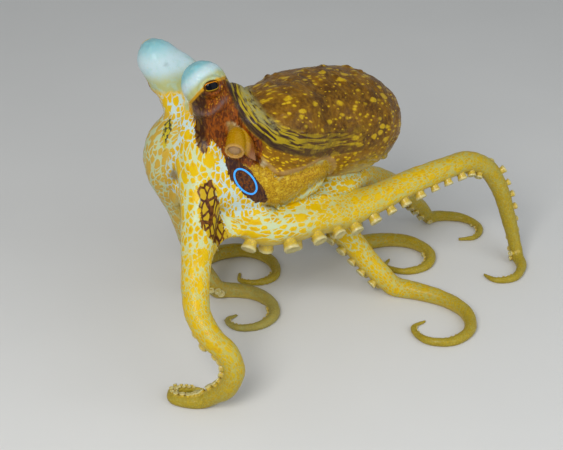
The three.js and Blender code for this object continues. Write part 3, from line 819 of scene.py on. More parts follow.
def mark_the_mantle(skin, gaps):
    points = gaps.points
    rest, head = gaps.rest.min(0), gaps.head.min(0)
    on_mantle = smoothstep(0.5, -0.5, gaps.mantle - rest)
    on_mantle = np.maximum(on_mantle, gaps.fused * smoothstep(2.5, 0, gaps.mantle) * smoothstep(0, 2, head))
    keep(skin, "on_mantle", on_mantle)
    # The two sides' bars meet on the nape, behind the stalks.
    nape = smoothstep(2, -1, (points - HEAD_MIDDLE) @ HEAD_FORWARD) * smoothstep(4, 2, head)
    nape *= smoothstep(79, 83, points[:, 2]) * smoothstep(93, 89, points[:, 2])
    keep(skin, "nape", nape * (1 - on_mantle))
    ahead = rest - gaps.mantle
    keep(skin, "lip", bell(ahead, 1.0, 1.2) * smoothstep(3, 1, gaps.mantle) * (1 - gaps.fused))
    axis = unit(np.array(MANTLE["top"], float) - MANTLE["foot"])
    offset = points - MANTLE["foot"]
    run = offset @ axis
    out = offset - run[:, None] * axis
    side_way = unit(np.cross(axis, (0, 0, 1)))
    up_way = np.cross(side_way, axis)
    turn_round = np.arctan2(out @ side_way, out @ up_way)
    rolled = MANTLE_GIRTH * np.array([np.sin(turn_round), np.cos(turn_round)])
    keep(skin, "mantle_place", np.c_[run, rolled.T] * MM, "FLOAT_VECTOR")
    keep(skin, "mantle_under", smoothstep(-0.2, -0.9, np.cos(turn_round)) * smoothstep(20, 36, run)
         * smoothstep(2, 9, np.linalg.norm(out, axis=1)))
    keep(skin, "mantle_run", run)


def mark_the_arms(skin, gaps):
    """Each arm's own straightened place, so that its pattern follows its bends."""
    points = gaps.points
    first, second = np.argsort(gaps.arms, axis=0)[:2]
    rows = np.arange(len(points))
    straight = np.zeros((len(points), 3))
    oral, tipward = np.zeros((2, len(points)))
    for index, arm in enumerate(arms.values()):
        mine = first == index
        station = gaps.stations[index][mine]
        offset = points[mine] - arm.middle[station]
        run = arm.run[station] + np.sum(offset * arm.along[station], axis=1)
        down = np.sum(offset * arm.oral[station], axis=1)
        aside = np.sum(offset * arm.across[station], axis=1)
        straight[mine] = np.c_[run, down + ARM_APART * index, aside]
        oral[mine] = down / arm.radius[station]
        tipward[mine] = arm.share[station]
    lone = smoothstep(0.6, 2.2, gaps.arms[second, rows] - gaps.arms[first, rows])
    clear = smoothstep(0.5, 5, np.minimum(gaps.head.min(0), gaps.mantle))
    keep(skin, "straight", straight * MM, "FLOAT_VECTOR")
    keep(skin, "on_arm", lone * clear)
    keep(skin, "oral", oral * clear)
    keep(skin, "tipward", tipward * clear)
    keep(skin, "on_left_3", (first == ARM_NAMES.index("left_3")) * clear)
    # Where painted shade darkens the first left arm in its material.
    keep(skin, "shade_on_left_1", smoothstep(2.5, 0, gaps.arms[ARM_NAMES.index("left_1")]))


def mark(skin):
    gaps = Gaps(skin)
    for mark_a_part in (mark_the_sides, mark_the_caps, mark_the_mantle, mark_the_arms):
        mark_a_part(skin, gaps)


# ---- Suckers ----
SUCKER_SIZE = 0.44  # of the arm's radius
SUCKER_LEAN = 0.5  # how far the two rows lean apart
# Where each arm's suckers start, in millimetres from its root.
SUCKERS_FROM = {"left_1": 46, "left_2": 62, "left_3": 9, "left_4": 30,
                "right_1": 34, "right_2": 30, "right_3": 30, "right_4": 30}
SUCKERS_TO = 0.965  # of the arm's length
ABOVE_GROUND = 0.02  # a cup that would come lower is left out
SUCKER_SIDES = 10
# The cup's profile in its own radii: half-width and height, from its foot inside the arm to its floor.
SUCKER_PROFILE = ((0.9, -0.5), (0.8, 0.1), (0.86, 0.45), (1.0, 0.8), (0.9, 0.92), (0.6, 0.66), (0.3, 0.42))


def model_of_a_sucker():
    """One cup, drawn up ring by ring from a circle, one millimetre in radius."""
    (width, height), *rings = SUCKER_PROFILE
    bpy.ops.mesh.primitive_circle_add(vertices=SUCKER_SIDES, radius=width * MM, location=(0, 0, height * MM))
    model = bpy.context.object
    model.name = "sucker_model"
    apply_place(model)
    bpy.ops.object.mode_set(mode="EDIT")
    bpy.ops.mesh.select_mode(type="VERT")
    bpy.ops.mesh.select_all(action="SELECT")
    for next_width, next_height in rings:
        rise = (next_height - height) * MM
        bpy.ops.mesh.extrude_region_move(TRANSFORM_OT_translate={"value": (0, 0, rise)})
        wider = next_width / width
        bpy.ops.transform.resize(value=(wider, wider, 1), center_override=(0, 0, 0))
        width, height = next_width, next_height
    bpy.ops.mesh.edge_face_add()
    bpy.ops.mesh.select_all(action="SELECT")
    bpy.ops.mesh.normals_make_consistent(inside=False)
    bpy.ops.object.mode_set(mode="OBJECT")
    return model


def suckers_along(arm, model, skin):
    """Two rows of cups on an arm's underside, smaller towards its tip, as one piece."""
    shape = np.array([vertex.co for vertex in model.data.vertices]) / MM
    hollow = np.hypot(*shape[:, :2].T) < 0.7
    cup = np.interp(shape[:, 2], (0.1, 0.5, 0.8), (0, 0.4, 1)) * np.where(hollow, 2, 1)
    shape = shape * (1, 1, arm.cup_height)
    cups = []
    distance, row = SUCKERS_FROM[arm.name], 0
    while distance < SUCKERS_TO * arm.length:
        middle, along, oral, across, thickness = arm.at(distance)
        radius = SUCKER_SIZE * thickness * (1 + 0.08 * np.sin(5.3 * row))  # a little uneven
        lean = unit(oral + (SUCKER_LEAN if row % 2 else -SUCKER_LEAN) * across)
        aside = np.cross(lean, unit(along))
        found, surface = skin.ray_cast(Vector(place(middle)), Vector(lean))[:2]
        depth = np.linalg.norm(drawn(surface) - middle) if found else 1e9
        turned = shape @ np.array([unit(along), aside, lean])
        points = middle + lean * (depth - 0.1 * radius) + turned * radius
        if depth < 2 * thickness and points[:, 2].min() > ABOVE_GROUND:
            copy = model.copy()
            copy.data = model.data.copy()
            bpy.context.scene.collection.objects.link(copy)
            move_points(copy, points)
            keep(copy, "cup", cup)
            cups.append(copy)
        distance += 0.5 * arm.spacing * radius
        row += 1
    piece = joined("suckers_" + arm.name, cups)
    piece.data.shade_smooth()
    return piece


# ---- Eyes and funnel ----
def add_eye(side):
    """An eyeball with a clear bulge over its bar pupil."""
    centre, axes = eye_centre(side), eye_axes(side)
    out = Vector(axes[2])
    bpy.ops.mesh.primitive_uv_sphere_add(
        segments=48, ring_count=32, radius=EYE_RADIUS * MM, location=place(centre),
        rotation=out.to_track_quat("Z", "Y").to_euler())
    eye = bpy.context.object
    eye.name = "eyeball_" + side
    apply_place(eye)
    points = points_of(eye) - centre
    local = points @ axes.T
    bulge = 0.3 * smoothstep(3.2, 1.2, np.hypot(local[:, 0], local[:, 1])) * (local[:, 2] > 0)
    move_points(eye, centre + points + bulge[:, None] * axes[2])
    keep(eye, "gaze", local, "FLOAT_VECTOR")
    eye.data.shade_smooth()
    return eye


def flap_place(across, down):
    """The flap hangs between an inner edge on the funnel and an outer edge on the neck, bulging between."""
    inner, outer = [
        np.array([np.interp(down, (0, 0.5, 1), axis) for axis in np.array(FLAP[edge]).T])
        for edge in ("inner", "outer")]
    bulge = np.array([0, FLAP["bulge"] * np.sin(np.pi * across), 0])
    return inner * (1 - across) + outer * across - bulge


def add_funnel():
    """The funnel's soft tube, open at its mouth, with the flap of skin that ties it to the neck."""
    middles = smooth_route(FUNNEL["way"], count=FUNNEL_STATIONS)[0]
    shares = np.linspace(0, 1, FUNNEL_STATIONS)
    radii = np.interp(shares, np.linspace(0, 1, len(FUNNEL["radii"])), FUNNEL["radii"])
    wall = tube("funnel", middles, radii, resolution=6, closed=False)
    use_modifier(wall, "SOLIDIFY", thickness=FUNNEL["wall"] * MM, offset=-1)
    flap = sheet(8, 10, flap_place, FLAP["thickness"])
    inner_floor = ball("funnel_floor", middles[FUNNEL["floor_at"]], [FUNNEL["floor_radius"]] * 3)
    funnel = joined("funnel_tube", (wall, flap, inner_floor))
    use_modifier(funnel, "REMESH", mode="VOXEL", voxel_size=FUNNEL_VOXEL * MM)
    smooth(funnel, 4)
    points = points_of(funnel)
    gap, station = from_line(points, middles, radii)
    keep(funnel, "run", station / (FUNNEL_STATIONS - 1))
    keep(funnel, "off_tube", gap)
    keep(funnel, "flap_edge", np.linalg.norm(points - FLAP["outer"][-1], axis=1))
    funnel.data.shade_smooth()
    return funnel


# ---- Materials ----
class Paint:
    """One material, built from the shader back. Its words make nodes and give back their outputs."""

    def __init__(self, name):
        self.material = bpy.data.materials.new(name)
        self.material.use_nodes = True
        self.tree = self.material.node_tree
        self.shader = self.tree.nodes["Principled BSDF"]
        self.shared = {}

    def node(self, kind, values=(), **settings):
        node = self.tree.nodes.new("ShaderNode" + kind)
        for key, value in settings.items():
            setattr(node, key, value)
        for socket, value in values:
            self.put(node.inputs[socket], value)
        return node

    def put(self, socket, value):
        if isinstance(value, bpy.types.NodeSocket):
            self.tree.links.new(value, socket)
        elif socket.type == "RGBA":
            socket.default_value = (*value, 1)
        else:
            socket.default_value = value

    def finish(self, **values):
        for socket, value in values.items():
            self.put(self.shader.inputs[socket.replace("_", " ")], value)
        return self.material

    def place(self):
        if "place" not in self.shared:
            self.shared["place"] = self.node("TexCoord").outputs["Object"]
        return self.shared["place"]

    def kept(self, name, output="Fac"):
        """What is kept on the piece's points under a name."""
        if name not in self.shared:
            self.shared[name] = self.node("Attribute", attribute_name=name)
        return self.shared[name].outputs[output]

    def maths(self, operation, *values):
        return self.node("Math", list(enumerate(values)), operation=operation).outputs[0]

    def times(self, *values):
        return reduce(partial(self.maths, "MULTIPLY"), values)

    def plus(self, first, second):
        return self.maths("ADD", first, second)

    def either(self, first, second):
        return self.maths("MAXIMUM", first, second)

    def ragged(self, share, texture, amount):
        """A share whose edge a texture breaks up."""
        return self.plus(share, self.ramp(texture, 0.3, 0.7, -amount, amount))

    def vector_maths(self, operation, first, second):
        return self.node("VectorMath", [(0, first), (1, second)], operation=operation).outputs[0]

    def scaled(self, vector, by):
        return self.vector_maths("MULTIPLY", vector, by)

    def noise(self, vector, size, detail=2.0, roughness=0.5, output="Fac"):
        """Soft noise; size is how large its blotches are, in millimetres."""
        values = [("Vector", vector), ("Scale", 1000 / size), ("Detail", detail), ("Roughness", roughness)]
        return self.node("TexNoise", values).outputs[output]

    def wavy(self, vector, size, amount):
        """The same places, pushed about by up to some millimetres."""
        colour = self.noise(vector, size, 1.0, output="Color")
        centred = self.vector_maths("SUBTRACT", colour, (0.5, 0.5, 0.5))
        return self.vector_maths("ADD", vector, self.scaled(centred, (2 * amount * MM,) * 3))

    def cells(self, vector, size, feature="F1", output="Distance"):
        """Scattered cells; size is how far apart they lie, in millimetres."""
        values = [("Vector", vector), ("Scale", 1000 / size)]
        return self.node("TexVoronoi", values, feature=feature).outputs[output]

    def ramp(self, value, low, high, start=0.0, end=1.0):
        """A smooth step from start to end as the value goes from low to high."""
        limits = [("From Min", low), ("From Max", high), ("To Min", start), ("To Max", end)]
        return self.node("MapRange", [("Value", value), *limits], interpolation_type="SMOOTHSTEP").outputs[0]

    def mix(self, share, first, second):
        node = self.node("Mix", [("Factor", share)], data_type="RGBA")
        self.put(node.inputs[6], first)
        self.put(node.inputs[7], second)
        return node.outputs[2]

    def blend(self, share, first, second):
        """A number between two others."""
        return self.node("Mix", [(0, share), (2, first), (3, second)], data_type="FLOAT").outputs[0]

    def bump(self, height, distance, strength):
        values = [("Height", height), ("Distance", distance * MM), ("Strength", strength)]
        return self.node("Bump", values).outputs[0]


# ---- The skin ----
# Where a name holds two colours, a texture or a height runs from one to the other.
YELLOW = (0.68, 0.445, 0.001)
ORANGE = (0.6, 0.31, 0.002)
HEAD_PALE = (0.5, 0.62, 0.6)
ARM_PALE = (0.53, 0.6, 0.36)
FAR_PALE = (0.52, 0.47, 0.13)
# darker olive for the arms' far parts, partly their own olive and partly painted shade
SHADED_OLIVES = ((0.38, 0.3, 0.03), (0.27, 0.19, 0.012))
# painted shade laid over the first left arm
FOREARM_SHADE = (0.24, 0.27, 0.14)
UNDERSIDES = ((0.54, 0.42, 0.09), (0.44, 0.31, 0.03))
MANTLE_BROWNS = ((0.085, 0.034, 0.003), (0.2, 0.088, 0.003))
MANTLE_RUST = (0.3, 0.15, 0.008)
MANTLE_SPOT = (0.56, 0.36, 0.006)
BELLY = ((0.5, 0.44, 0.2), (0.6, 0.42, 0.03))
FLANK_BROWNS = ((0.18, 0.07, 0.001), (0.3, 0.15, 0.003))
FLANK_SPOT = (0.66, 0.42, 0.003)
STREAK_DARK = (0.035, 0.016, 0.01)
STREAK_GOLD = (0.36, 0.26, 0.008)
STREAK_PALE = (0.3, 0.27, 0.1)
LIP_PINKS = ((0.32, 0.16, 0.035), (0.4, 0.26, 0.09))
NECK_AMBERS = ((0.31, 0.155, 0.004), (0.5, 0.3, 0.007))
NECK_YELLOW = (0.62, 0.44, 0.03)
# painted shade along the crease under the neck
CREASE_SHADE = (0.2, 0.12, 0.01)
CORNER_CREAM = (0.5, 0.4, 0.22)
# dark teal at the cap's top edge, partly its own teal and partly painted shade, then pale lower down
CAP_BLUES_AND_TOP_SHADE = ((0.19, 0.45, 0.5), (0.47, 0.61, 0.65))
CAP_CREAM = (0.41, 0.43, 0.18)
CAP_CLOUD = (0.34, 0.55, 0.55)
CAP_STIPPLE = (0.55, 0.48, 0.12)
CAP_FRECKLE = (0.2, 0.24, 0.26)
CAP_EDGE = (0.68, 0.43, 0.015)
CAP_BY_THE_BAR = (0.5, 0.27, 0.003)
BAR_BY_THE_CAP = (0.5, 0.25, 0.003)
# painted shade for the crease between the stalks
VALLEY_SHADE = (0.12, 0.1, 0.04)
BAR_BROWNS = ((0.09, 0.019, 0.001), (0.25, 0.06, 0.001))
BAR_DOT = (0.44, 0.19, 0.004)
BAR_DARK = (0.04, 0.01, 0.001)
BAR_STREAK = (0.5, 0.27, 0.008)
# a painted highlight along the eye pouch's fold
POUCH_HIGHLIGHT = (0.17, 0.1, 0.09)
NOTCH_OLIVES = ((0.2, 0.12, 0.015), (0.33, 0.22, 0.04))
# a painted highlight along the notch's rim
NOTCH_RIM_HIGHLIGHT = (0.5, 0.38, 0.18)
NET_BROWNS = ((0.06, 0.014, 0.003), (0.15, 0.05, 0.004))
NET_YELLOW = (0.5, 0.33, 0.006)
FACE_STREAKS = ((0.06, 0.06, 0.03), (0.5, 0.4, 0.02))
FACE_SPOT = ((0.1, 0.05, 0.01), (0.3, 0.18, 0.01))
SPINDLE_BROWNS = ((0.04, 0.014, 0.012), (0.13, 0.05, 0.012))
SPINDLE_RED = (0.18, 0.046, 0.004)
RING_BLUE = (0.05, 0.36, 0.98)
LOW_BAR = (72.0, 80.0)  # the heights between which the bar's dark edge breaks up into streaks


class SkinPaint(Paint):
    """The octopus's skin, laid on coat by coat, from the pale net of the head to the blue ring."""

    def __init__(self):
        super().__init__("octopus_skin")
        self.here = self.place()
        self.blotches = self.noise(self.here, 9, 1.0)
        self.medium = self.noise(self.here, 1.6)
        self.fine = self.noise(self.here, 0.55, 2.0, 0.6)
        self.straight = self.kept("straight", "Vector")  # along each arm, as if it were straight
        self.rows_place = self.kept("mantle_place", "Vector")  # along and round the mantle
        self.stripe_place = self.kept("stripe_place", "Vector")  # beside and along the stripe
        self.clouds = self.noise(self.rows_place, 8, 3.0, 0.6)
        self.bar_place = self.wavy(self.here, 2.5, 0.4)
        self.grain = self.noise(self.scaled(self.bar_place, (1, 1, 0.3)), 0.75, 2.0, 0.6)
        self.long_place = self.scaled(self.bar_place, (1, 1, 0.26))

    def lay(self, share, colour):
        """One more coat over the others."""
        self.colour = self.mix(share, self.colour, colour)

    def part_of(self, place, axis):
        return self.node("SeparateXYZ", [(0, place)]).outputs[axis]

    def spotted(self, where, size, large):
        """Blobs of two sizes, smaller in some blotches: how yellow, and how near a small one's middle."""
        from_middle = self.cells(where, size)
        roomy = self.ramp(self.cells(where, size, output="Color"), 0.15, 0.85, 0.56, 0.86)
        limit = self.maths("SUBTRACT", roomy, self.ramp(self.blotches, 0.4, 0.7, 0, 0.12))
        inside = self.ramp(self.maths("SUBTRACT", limit, from_middle), -0.06, 0.13)
        apart = self.ramp(self.cells(where, size, "DISTANCE_TO_EDGE"), 0.03, 0.17)
        big = self.ramp(self.cells(where, large), 0.36, 0.22)
        return self.either(self.times(inside, apart), big), self.ramp(from_middle, 0.5, 0.1)

    def blobs_in_a_net(self):
        """Yellow blobs in a pale net, over the head and along the arms."""
        head_place = self.scaled(self.wavy(self.here, 1.6, 0.45), (1, 1, 0.5))
        arm_place = self.scaled(self.wavy(self.straight, 1.6, 0.4), (0.6, 1, 1))
        on_head, head_core = self.spotted(head_place, 1.5, 5.2)
        near_in, near_core = self.spotted(arm_place, 1.7, 5.2)
        far_out, far_core = self.spotted(arm_place, 1.1, 3.4)
        tipward = self.plus(self.kept("tipward"), self.times(self.kept("on_left_3"), 0.12))
        outward = self.ramp(tipward, 0.22, 0.45)
        arm = self.ramp(self.kept("on_arm"), 0.35, 0.65)
        self.yellow = self.blend(arm, on_head, self.blend(outward, near_in, far_out))
        core = self.blend(arm, head_core, self.blend(outward, near_core, far_core))
        deep = self.times(core, self.ramp(self.blotches, 0.3, 0.6, 0.25, 0.9))
        # On the first left arm the blobs turn orange as painted shade.
        blob = self.mix(self.either(deep, self.times(self.kept("shade_on_left_1"), 0.7)), YELLOW, ORANGE)
        rearward = self.ramp(self.part_of(self.here, 0), ORIGIN[0] + 8 * MM, ORIGIN[0] + 20 * MM)
        pale = self.mix(outward, self.mix(self.either(arm, rearward), HEAD_PALE, ARM_PALE), FAR_PALE)
        self.colour = self.mix(self.ramp(self.yellow, 0.1, 0.6), pale, blob)

    def arm_ends(self):
        """Outwards the arms grow more even and a darker olive, the darkness partly painted shade, and their
        undersides paler. The first left arm is greyed as painted shade.
        """
        grainy = self.ramp(self.fine, 0.1, 0.6, 0.5, 0.95)
        even = self.times(self.ramp(self.kept("tipward"), 0.36, 0.8), grainy)
        # Farther out the arms are darkened, partly their own olive and partly painted shade.
        self.lay(even, self.mix(self.fine, *SHADED_OLIVES))
        # Painted shade: a grey laid over the first left arm.
        self.lay(self.times(self.kept("shade_on_left_1"), 0.3), FOREARM_SHADE)
        under = self.times(self.ramp(self.kept("oral"), 0.4, 0.8), 0.75)
        self.lay(under, self.mix(self.medium, *UNDERSIDES))

    def mantle(self):
        """Mottled brown, with rows of small yellow spots, paler below, and a pink lip."""
        rows = self.scaled(self.wavy(self.rows_place, 3.5, 0.6), (0.55, 1, 1))
        small_spots = self.ramp(self.cells(rows, 1.5), self.ramp(self.clouds, 0.4, 0.62, 0.18, 0.5), 0.12)
        large_spots = self.times(self.ramp(self.cells(rows, 3.4), 0.34, 0.2), 0.9)
        spots = self.times(self.either(small_spots, large_spots), self.ramp(self.fine, 0.2, 0.6, 0.5, 1.0))
        net = self.ramp(self.cells(rows, 2.4, "DISTANCE_TO_EDGE"), 0.06, 0.2)
        flank_place = self.scaled(self.wavy(self.stripe_place, 2.5, 0.4), (1, 0.5, 1))
        flank_spots = self.times(
            self.ramp(self.cells(flank_place, 0.85), 0.5, 0.25), self.ramp(self.clouds, 0.25, 0.5))
        flank = self.mix(flank_spots, self.mix(self.medium, *FLANK_BROWNS), FLANK_SPOT)
        gap = self.kept("stripe_gap")
        before_the_end = self.ramp(self.kept("mantle_run"), 40, 26)
        on_flank = self.times(self.ramp(gap, -0.8, -1.8), self.ramp(gap, -14.0, -10.0), before_the_end)
        colour = self.mix(self.ramp(self.clouds, 0.35, 0.65), *MANTLE_BROWNS)
        for share, over in (
                (self.times(self.ramp(self.medium, 0.4, 0.75), 0.6), MANTLE_RUST),
                (spots, MANTLE_SPOT),
                (self.kept("mantle_under"), self.mix(net, *BELLY)),
                (on_flank, flank),
                (self.times(self.ramp(self.kept("lip"), 0.35, 0.8), 0.85), self.mix(self.fine, *LIP_PINKS))):
            colour = self.mix(share, colour, over)
        self.lay(self.kept("on_mantle"), colour)

    def neck(self):
        """Amber with fine brown freckles, under the mantle's edge."""
        freckled = self.mix(self.ramp(self.fine, 0.4, 0.58), *NECK_AMBERS)
        freckled = self.mix(self.ramp(self.medium, 0.55, 0.75), freckled, NECK_YELLOW)
        off_mantle = self.maths("SUBTRACT", 1.0, self.kept("on_mantle"))
        self.lay(self.times(self.kept("neck"), off_mantle), freckled)
        # Painted shade along the sunk crease under the neck.
        self.lay(self.times(self.kept("crease"), 0.8), CREASE_SHADE)
        self.lay(self.kept("corner"), CORNER_CREAM)

    def caps(self):
        """The pale caps over the eyes, clouded and fading into cream, then yellow."""
        rise, near_bar = self.kept("cap_rise"), self.kept("eye_bar")
        # Dark teal at the cap's top, partly the cap's own teal and partly painted shade, to pale lower down.
        cap_colour = self.mix(self.ramp(rise, 1.05, 0.6), *CAP_BLUES_AND_TOP_SHADE)
        cloud = self.times(self.ramp(self.noise(self.here, 2.2, 3.0), 0.45, 0.75), 0.5)
        stipple = self.times(self.ramp(self.fine, 0.55, 0.75), self.ramp(rise, 0.6, 0.1, 0.15, 0.6))
        for share, over in (
                (self.ramp(rise, 0.45, 0.05), CAP_CREAM), (cloud, CAP_CLOUD), (stipple, CAP_STIPPLE),
                (self.times(self.kept("freckles"), 0.6), CAP_FRECKLE),
                (self.ramp(near_bar, 0.0, 0.3), CAP_BY_THE_BAR)):
            cap_colour = self.mix(share, cap_colour, over)
        cap = self.ragged(self.kept("cap"), self.medium, 0.12)
        off_mantle = self.ramp(self.kept("on_mantle"), 0.7, 0.3)
        on_stalk = self.times(self.ramp(self.kept("strip"), 0.6, 0.3), off_mantle)
        self.in_cap = self.times(self.ramp(cap, 0.35, 0.8), on_stalk)
        self.lay(self.times(self.ramp(cap, 0.05, 0.4), on_stalk, 0.8), CAP_EDGE)
        self.lay(self.in_cap, cap_colour)
        by_cap = self.times(self.ramp(self.kept("cap_and_lid"), 0.0, 0.15), self.ramp(near_bar, 0.0, 0.12))
        self.lay(by_cap, BAR_BY_THE_CAP)
        # Painted shade: a dark line in the crease between the stalks.
        self.lay(self.times(self.kept("valley_shade"), 0.7), VALLEY_SHADE)

    def eye_bar(self):
        """The orange-brown bar through the eye, with a dark front edge that breaks up into streaks."""
        dots = self.ramp(self.cells(self.scaled(self.bar_place, (1, 1, 0.6)), 0.8), 0.4, 0.2)
        long_cells = self.ramp(self.cells(self.long_place, 1.5, "DISTANCE_TO_EDGE"), 0.1, 0.24)
        low_down = self.ramp(self.part_of(self.here, 2), LOW_BAR[1] * MM, LOW_BAR[0] * MM)
        dark = self.mix(self.times(long_cells, self.blend(low_down, 0.16, 0.8)), BAR_DARK, BAR_STREAK)
        # A pale line along the notch's rim: a painted highlight.
        rim = self.times(self.kept("notch_rim_highlight"), self.ramp(self.medium, 0.3, 0.6, 0.35, 0.85))
        bar = self.mix(self.ramp(self.grain, 0.4, 0.62), *BAR_BROWNS)
        for share, over in (
                (self.times(dots, self.ramp(self.blotches, 0.35, 0.6)), BAR_DOT),
                (self.kept("dark_bar"), dark),
                # A paler grey band along the eye pouch's fold: a painted highlight.
                (self.times(self.kept("fold"), self.ramp(self.grain, 0.35, 0.65, 0.75, 0.3)), POUCH_HIGHLIGHT),
                (self.times(self.kept("notch"), 0.8), self.mix(self.fine, *NOTCH_OLIVES)),
                (rim, NOTCH_RIM_HIGHLIGHT)):
            bar = self.mix(share, bar, over)
        # Its edge is torn, but less so beside the caps.
        calm = self.blend(self.ramp(self.kept("cap_and_lid"), 0.0, 0.2), 1.0, 0.15)
        torn = self.times(self.ramp(self.grain, 0.3, 0.7, -0.28, 0.28), calm)
        in_bar = self.ramp(self.plus(self.kept("eye_bar"), torn), 0.35, 0.65)
        self.lay(self.either(in_bar, self.kept("nape")), bar)

    def stripe(self):
        """Long dark and golden streaks beside the eye's bar, with one dark stripe."""
        gap, along = self.kept("stripe_gap"), self.part_of(self.stripe_place, 1)
        grain_place = self.scaled(self.wavy(self.stripe_place, 4, 0.35), (1, 0.13, 1))
        streak = self.ramp(self.noise(grain_place, 0.8, 1.0), 0.42, 0.56)
        pale_edge = self.times(
            self.ramp(gap, 2.6, 4.2), self.ramp(self.medium, 0.3, 0.6), self.ramp(along, 0.03, 0.014))
        dark_stripe = self.times(self.ramp(gap, -1.5, -0.9), self.ramp(gap, 1.3, 0.5))
        colour = self.mix(streak, STREAK_DARK, STREAK_GOLD)
        colour = self.mix(pale_edge, colour, STREAK_PALE)
        colour = self.mix(self.times(dark_stripe, 0.92), colour, STREAK_DARK)
        clouded = self.blend(self.ramp(along, 0.024, 0.05), 1.0, self.clouds)
        share = self.times(
            self.ramp(gap, -1.8, -0.6), self.ramp(gap, 8.0, 5.0), clouded, self.ramp(along, 0.064, 0.05))
        self.lay(self.times(share, self.either(self.kept("strip"), self.kept("on_mantle"))), colour)

    def dark_marks(self):
        """The netted mark at the foot of the second left arm, and the streaks and spot on the face."""
        net_place = self.scaled(self.wavy(self.straight, 3, 0.4), (0.5, 1, 1))
        picked = self.ramp(self.cells(net_place, 2.1, output="Color"), 0.22, 0.3)
        open_cell = self.times(self.ramp(self.cells(net_place, 2.1, "DISTANCE_TO_EDGE"), 0.09, 0.17), picked)
        netted = self.mix(open_cell, self.mix(self.ramp(self.medium, 0.4, 0.6), *NET_BROWNS), NET_YELLOW)
        self.lay(self.ramp(self.ragged(self.kept("netted"), self.medium, 0.3), 0.32, 0.68), netted)
        streaks = self.mix(self.ramp(self.noise(self.long_place, 0.8), 0.42, 0.56), *FACE_STREAKS)
        self.lay(self.ramp(self.ragged(self.kept("streaks"), self.medium, 0.25), 0.4, 0.65), streaks)
        self.lay(self.times(self.kept("spot"), 0.85), self.mix(self.fine, *FACE_SPOT))

    def false_eye(self):
        """The dark spindle with its blue ring."""
        in_spindle, ring_gap = self.kept("spindle"), self.kept("ring_gap")
        warm = self.times(
            self.ramp(ring_gap, -0.2, -1.2), self.ramp(self.cells(self.bar_place, 0.8), 0.5, 0.25))
        spindle = self.mix(self.times(self.ramp(self.grain, 0.4, 0.65), 0.8), *SPINDLE_BROWNS)
        spindle = self.mix(warm, spindle, SPINDLE_RED)
        self.lay(self.ramp(self.ragged(in_spindle, self.grain, 0.22), 0.4, 0.6), spindle)
        on_the_line = self.ramp(self.maths("ABSOLUTE", ring_gap), 0.38, 0.2)
        self.ring = self.times(on_the_line, self.ramp(in_spindle, 0.2, 0.5))
        self.lay(self.ring, RING_BLUE)

    def surface(self):
        """Soft flesh with a fine grain, smoother and glossier on the caps; the blue ring glows a little, as
        painted light.
        """
        height = self.plus(self.times(self.fine, 0.5), self.times(self.yellow, 0.6))
        grainy = self.bump(height, 0.22, self.times(self.blend(self.in_cap, 1.0, 0.25), 0.55))
        shine = self.blend(self.in_cap, self.ramp(self.fine, 0.2, 0.8, 0.3, 0.46), 0.26)
        # The blue ring is given a faint glow: painted light.
        return self.finish(
            Base_Color=self.colour, Roughness=shine, Normal=grainy, Coat_Weight=0.1, Coat_Roughness=0.12,
            Subsurface_Weight=0.08, Subsurface_Scale=0.001, Subsurface_Radius=(1.0, 0.5, 0.25),
            Specular_IOR_Level=0.12, Emission_Color=RING_BLUE, Emission_Strength=self.times(self.ring, 0.22))


def paint_skin():
    skin_paint = SkinPaint()
    skin_paint.blobs_in_a_net()
    skin_paint.arm_ends()
    skin_paint.mantle()
    skin_paint.neck()
    skin_paint.caps()
    skin_paint.eye_bar()
    skin_paint.stripe()
    skin_paint.dark_marks()
    skin_paint.false_eye()
    return skin_paint.surface()


# ---- The other finishes ----
CUP_WALL = ((0.5, 0.36, 0.05), (0.62, 0.44, 0.02))
CUP_RIM = ((0.6, 0.54, 0.28), (0.5, 0.42, 0.12))
# painted shade: the darker colour of the cups' hollows
CUP_HOLLOW_SHADE = ((0.26, 0.2, 0.04), (0.42, 0.35, 0.13))
IRIS_BROWNS = ((0.05, 0.018, 0.002), (0.13, 0.05, 0.004))
PUPIL_GOLDS = ((0.5, 0.3, 0.01), (0.75, 0.26, 0.003))
PUPIL_BLACK = (0.003, 0.004, 0.006)
PUPIL_SQUARENESS = 3.5  # 2 would make the pupil an ellipse
FUNNEL_AMBERS = ((0.35, 0.17, 0.001), (0.46, 0.25, 0.002))
FUNNEL_ROOT = (0.36, 0.26, 0.1)
FLAP_BROWN = (0.2, 0.06, 0.003)
MOUTH_PINK = (0.44, 0.25, 0.07)
MOUTH_INSIDE = (0.33, 0.2, 0.09)
FLAP_TIP = (0.32, 0.16, 0.08)
FLOOR_GREYS = ((0.66, 0.66, 0.65), (0.7, 0.7, 0.69))


def paint_suckers():
    paint = Paint("sucker_skin")
    here, cup = paint.place(), paint.kept("cup")
    fine = paint.noise(here, 0.5)
    net = paint.ramp(paint.cells(paint.wavy(here, 2, 0.3), 1.0, "DISTANCE_TO_EDGE"), 0.08, 0.2)
    colour = paint.mix(paint.ramp(cup, 0.45, 0.95), paint.mix(net, *CUP_WALL), paint.mix(fine, *CUP_RIM))
    # Painted shade: the hollow of each cup is darkened.
    colour = paint.mix(paint.ramp(cup, 1.1, 1.9), colour, paint.mix(fine, *CUP_HOLLOW_SHADE))
    return paint.finish(
        Base_Color=colour, Roughness=paint.ramp(fine, 0.2, 0.8, 0.3, 0.45),
        Normal=paint.bump(fine, 0.12, 0.5),
        Subsurface_Weight=0.2, Subsurface_Scale=0.0012, Subsurface_Radius=(1.0, 0.6, 0.3), Coat_Weight=0.3,
        Coat_Roughness=0.18)


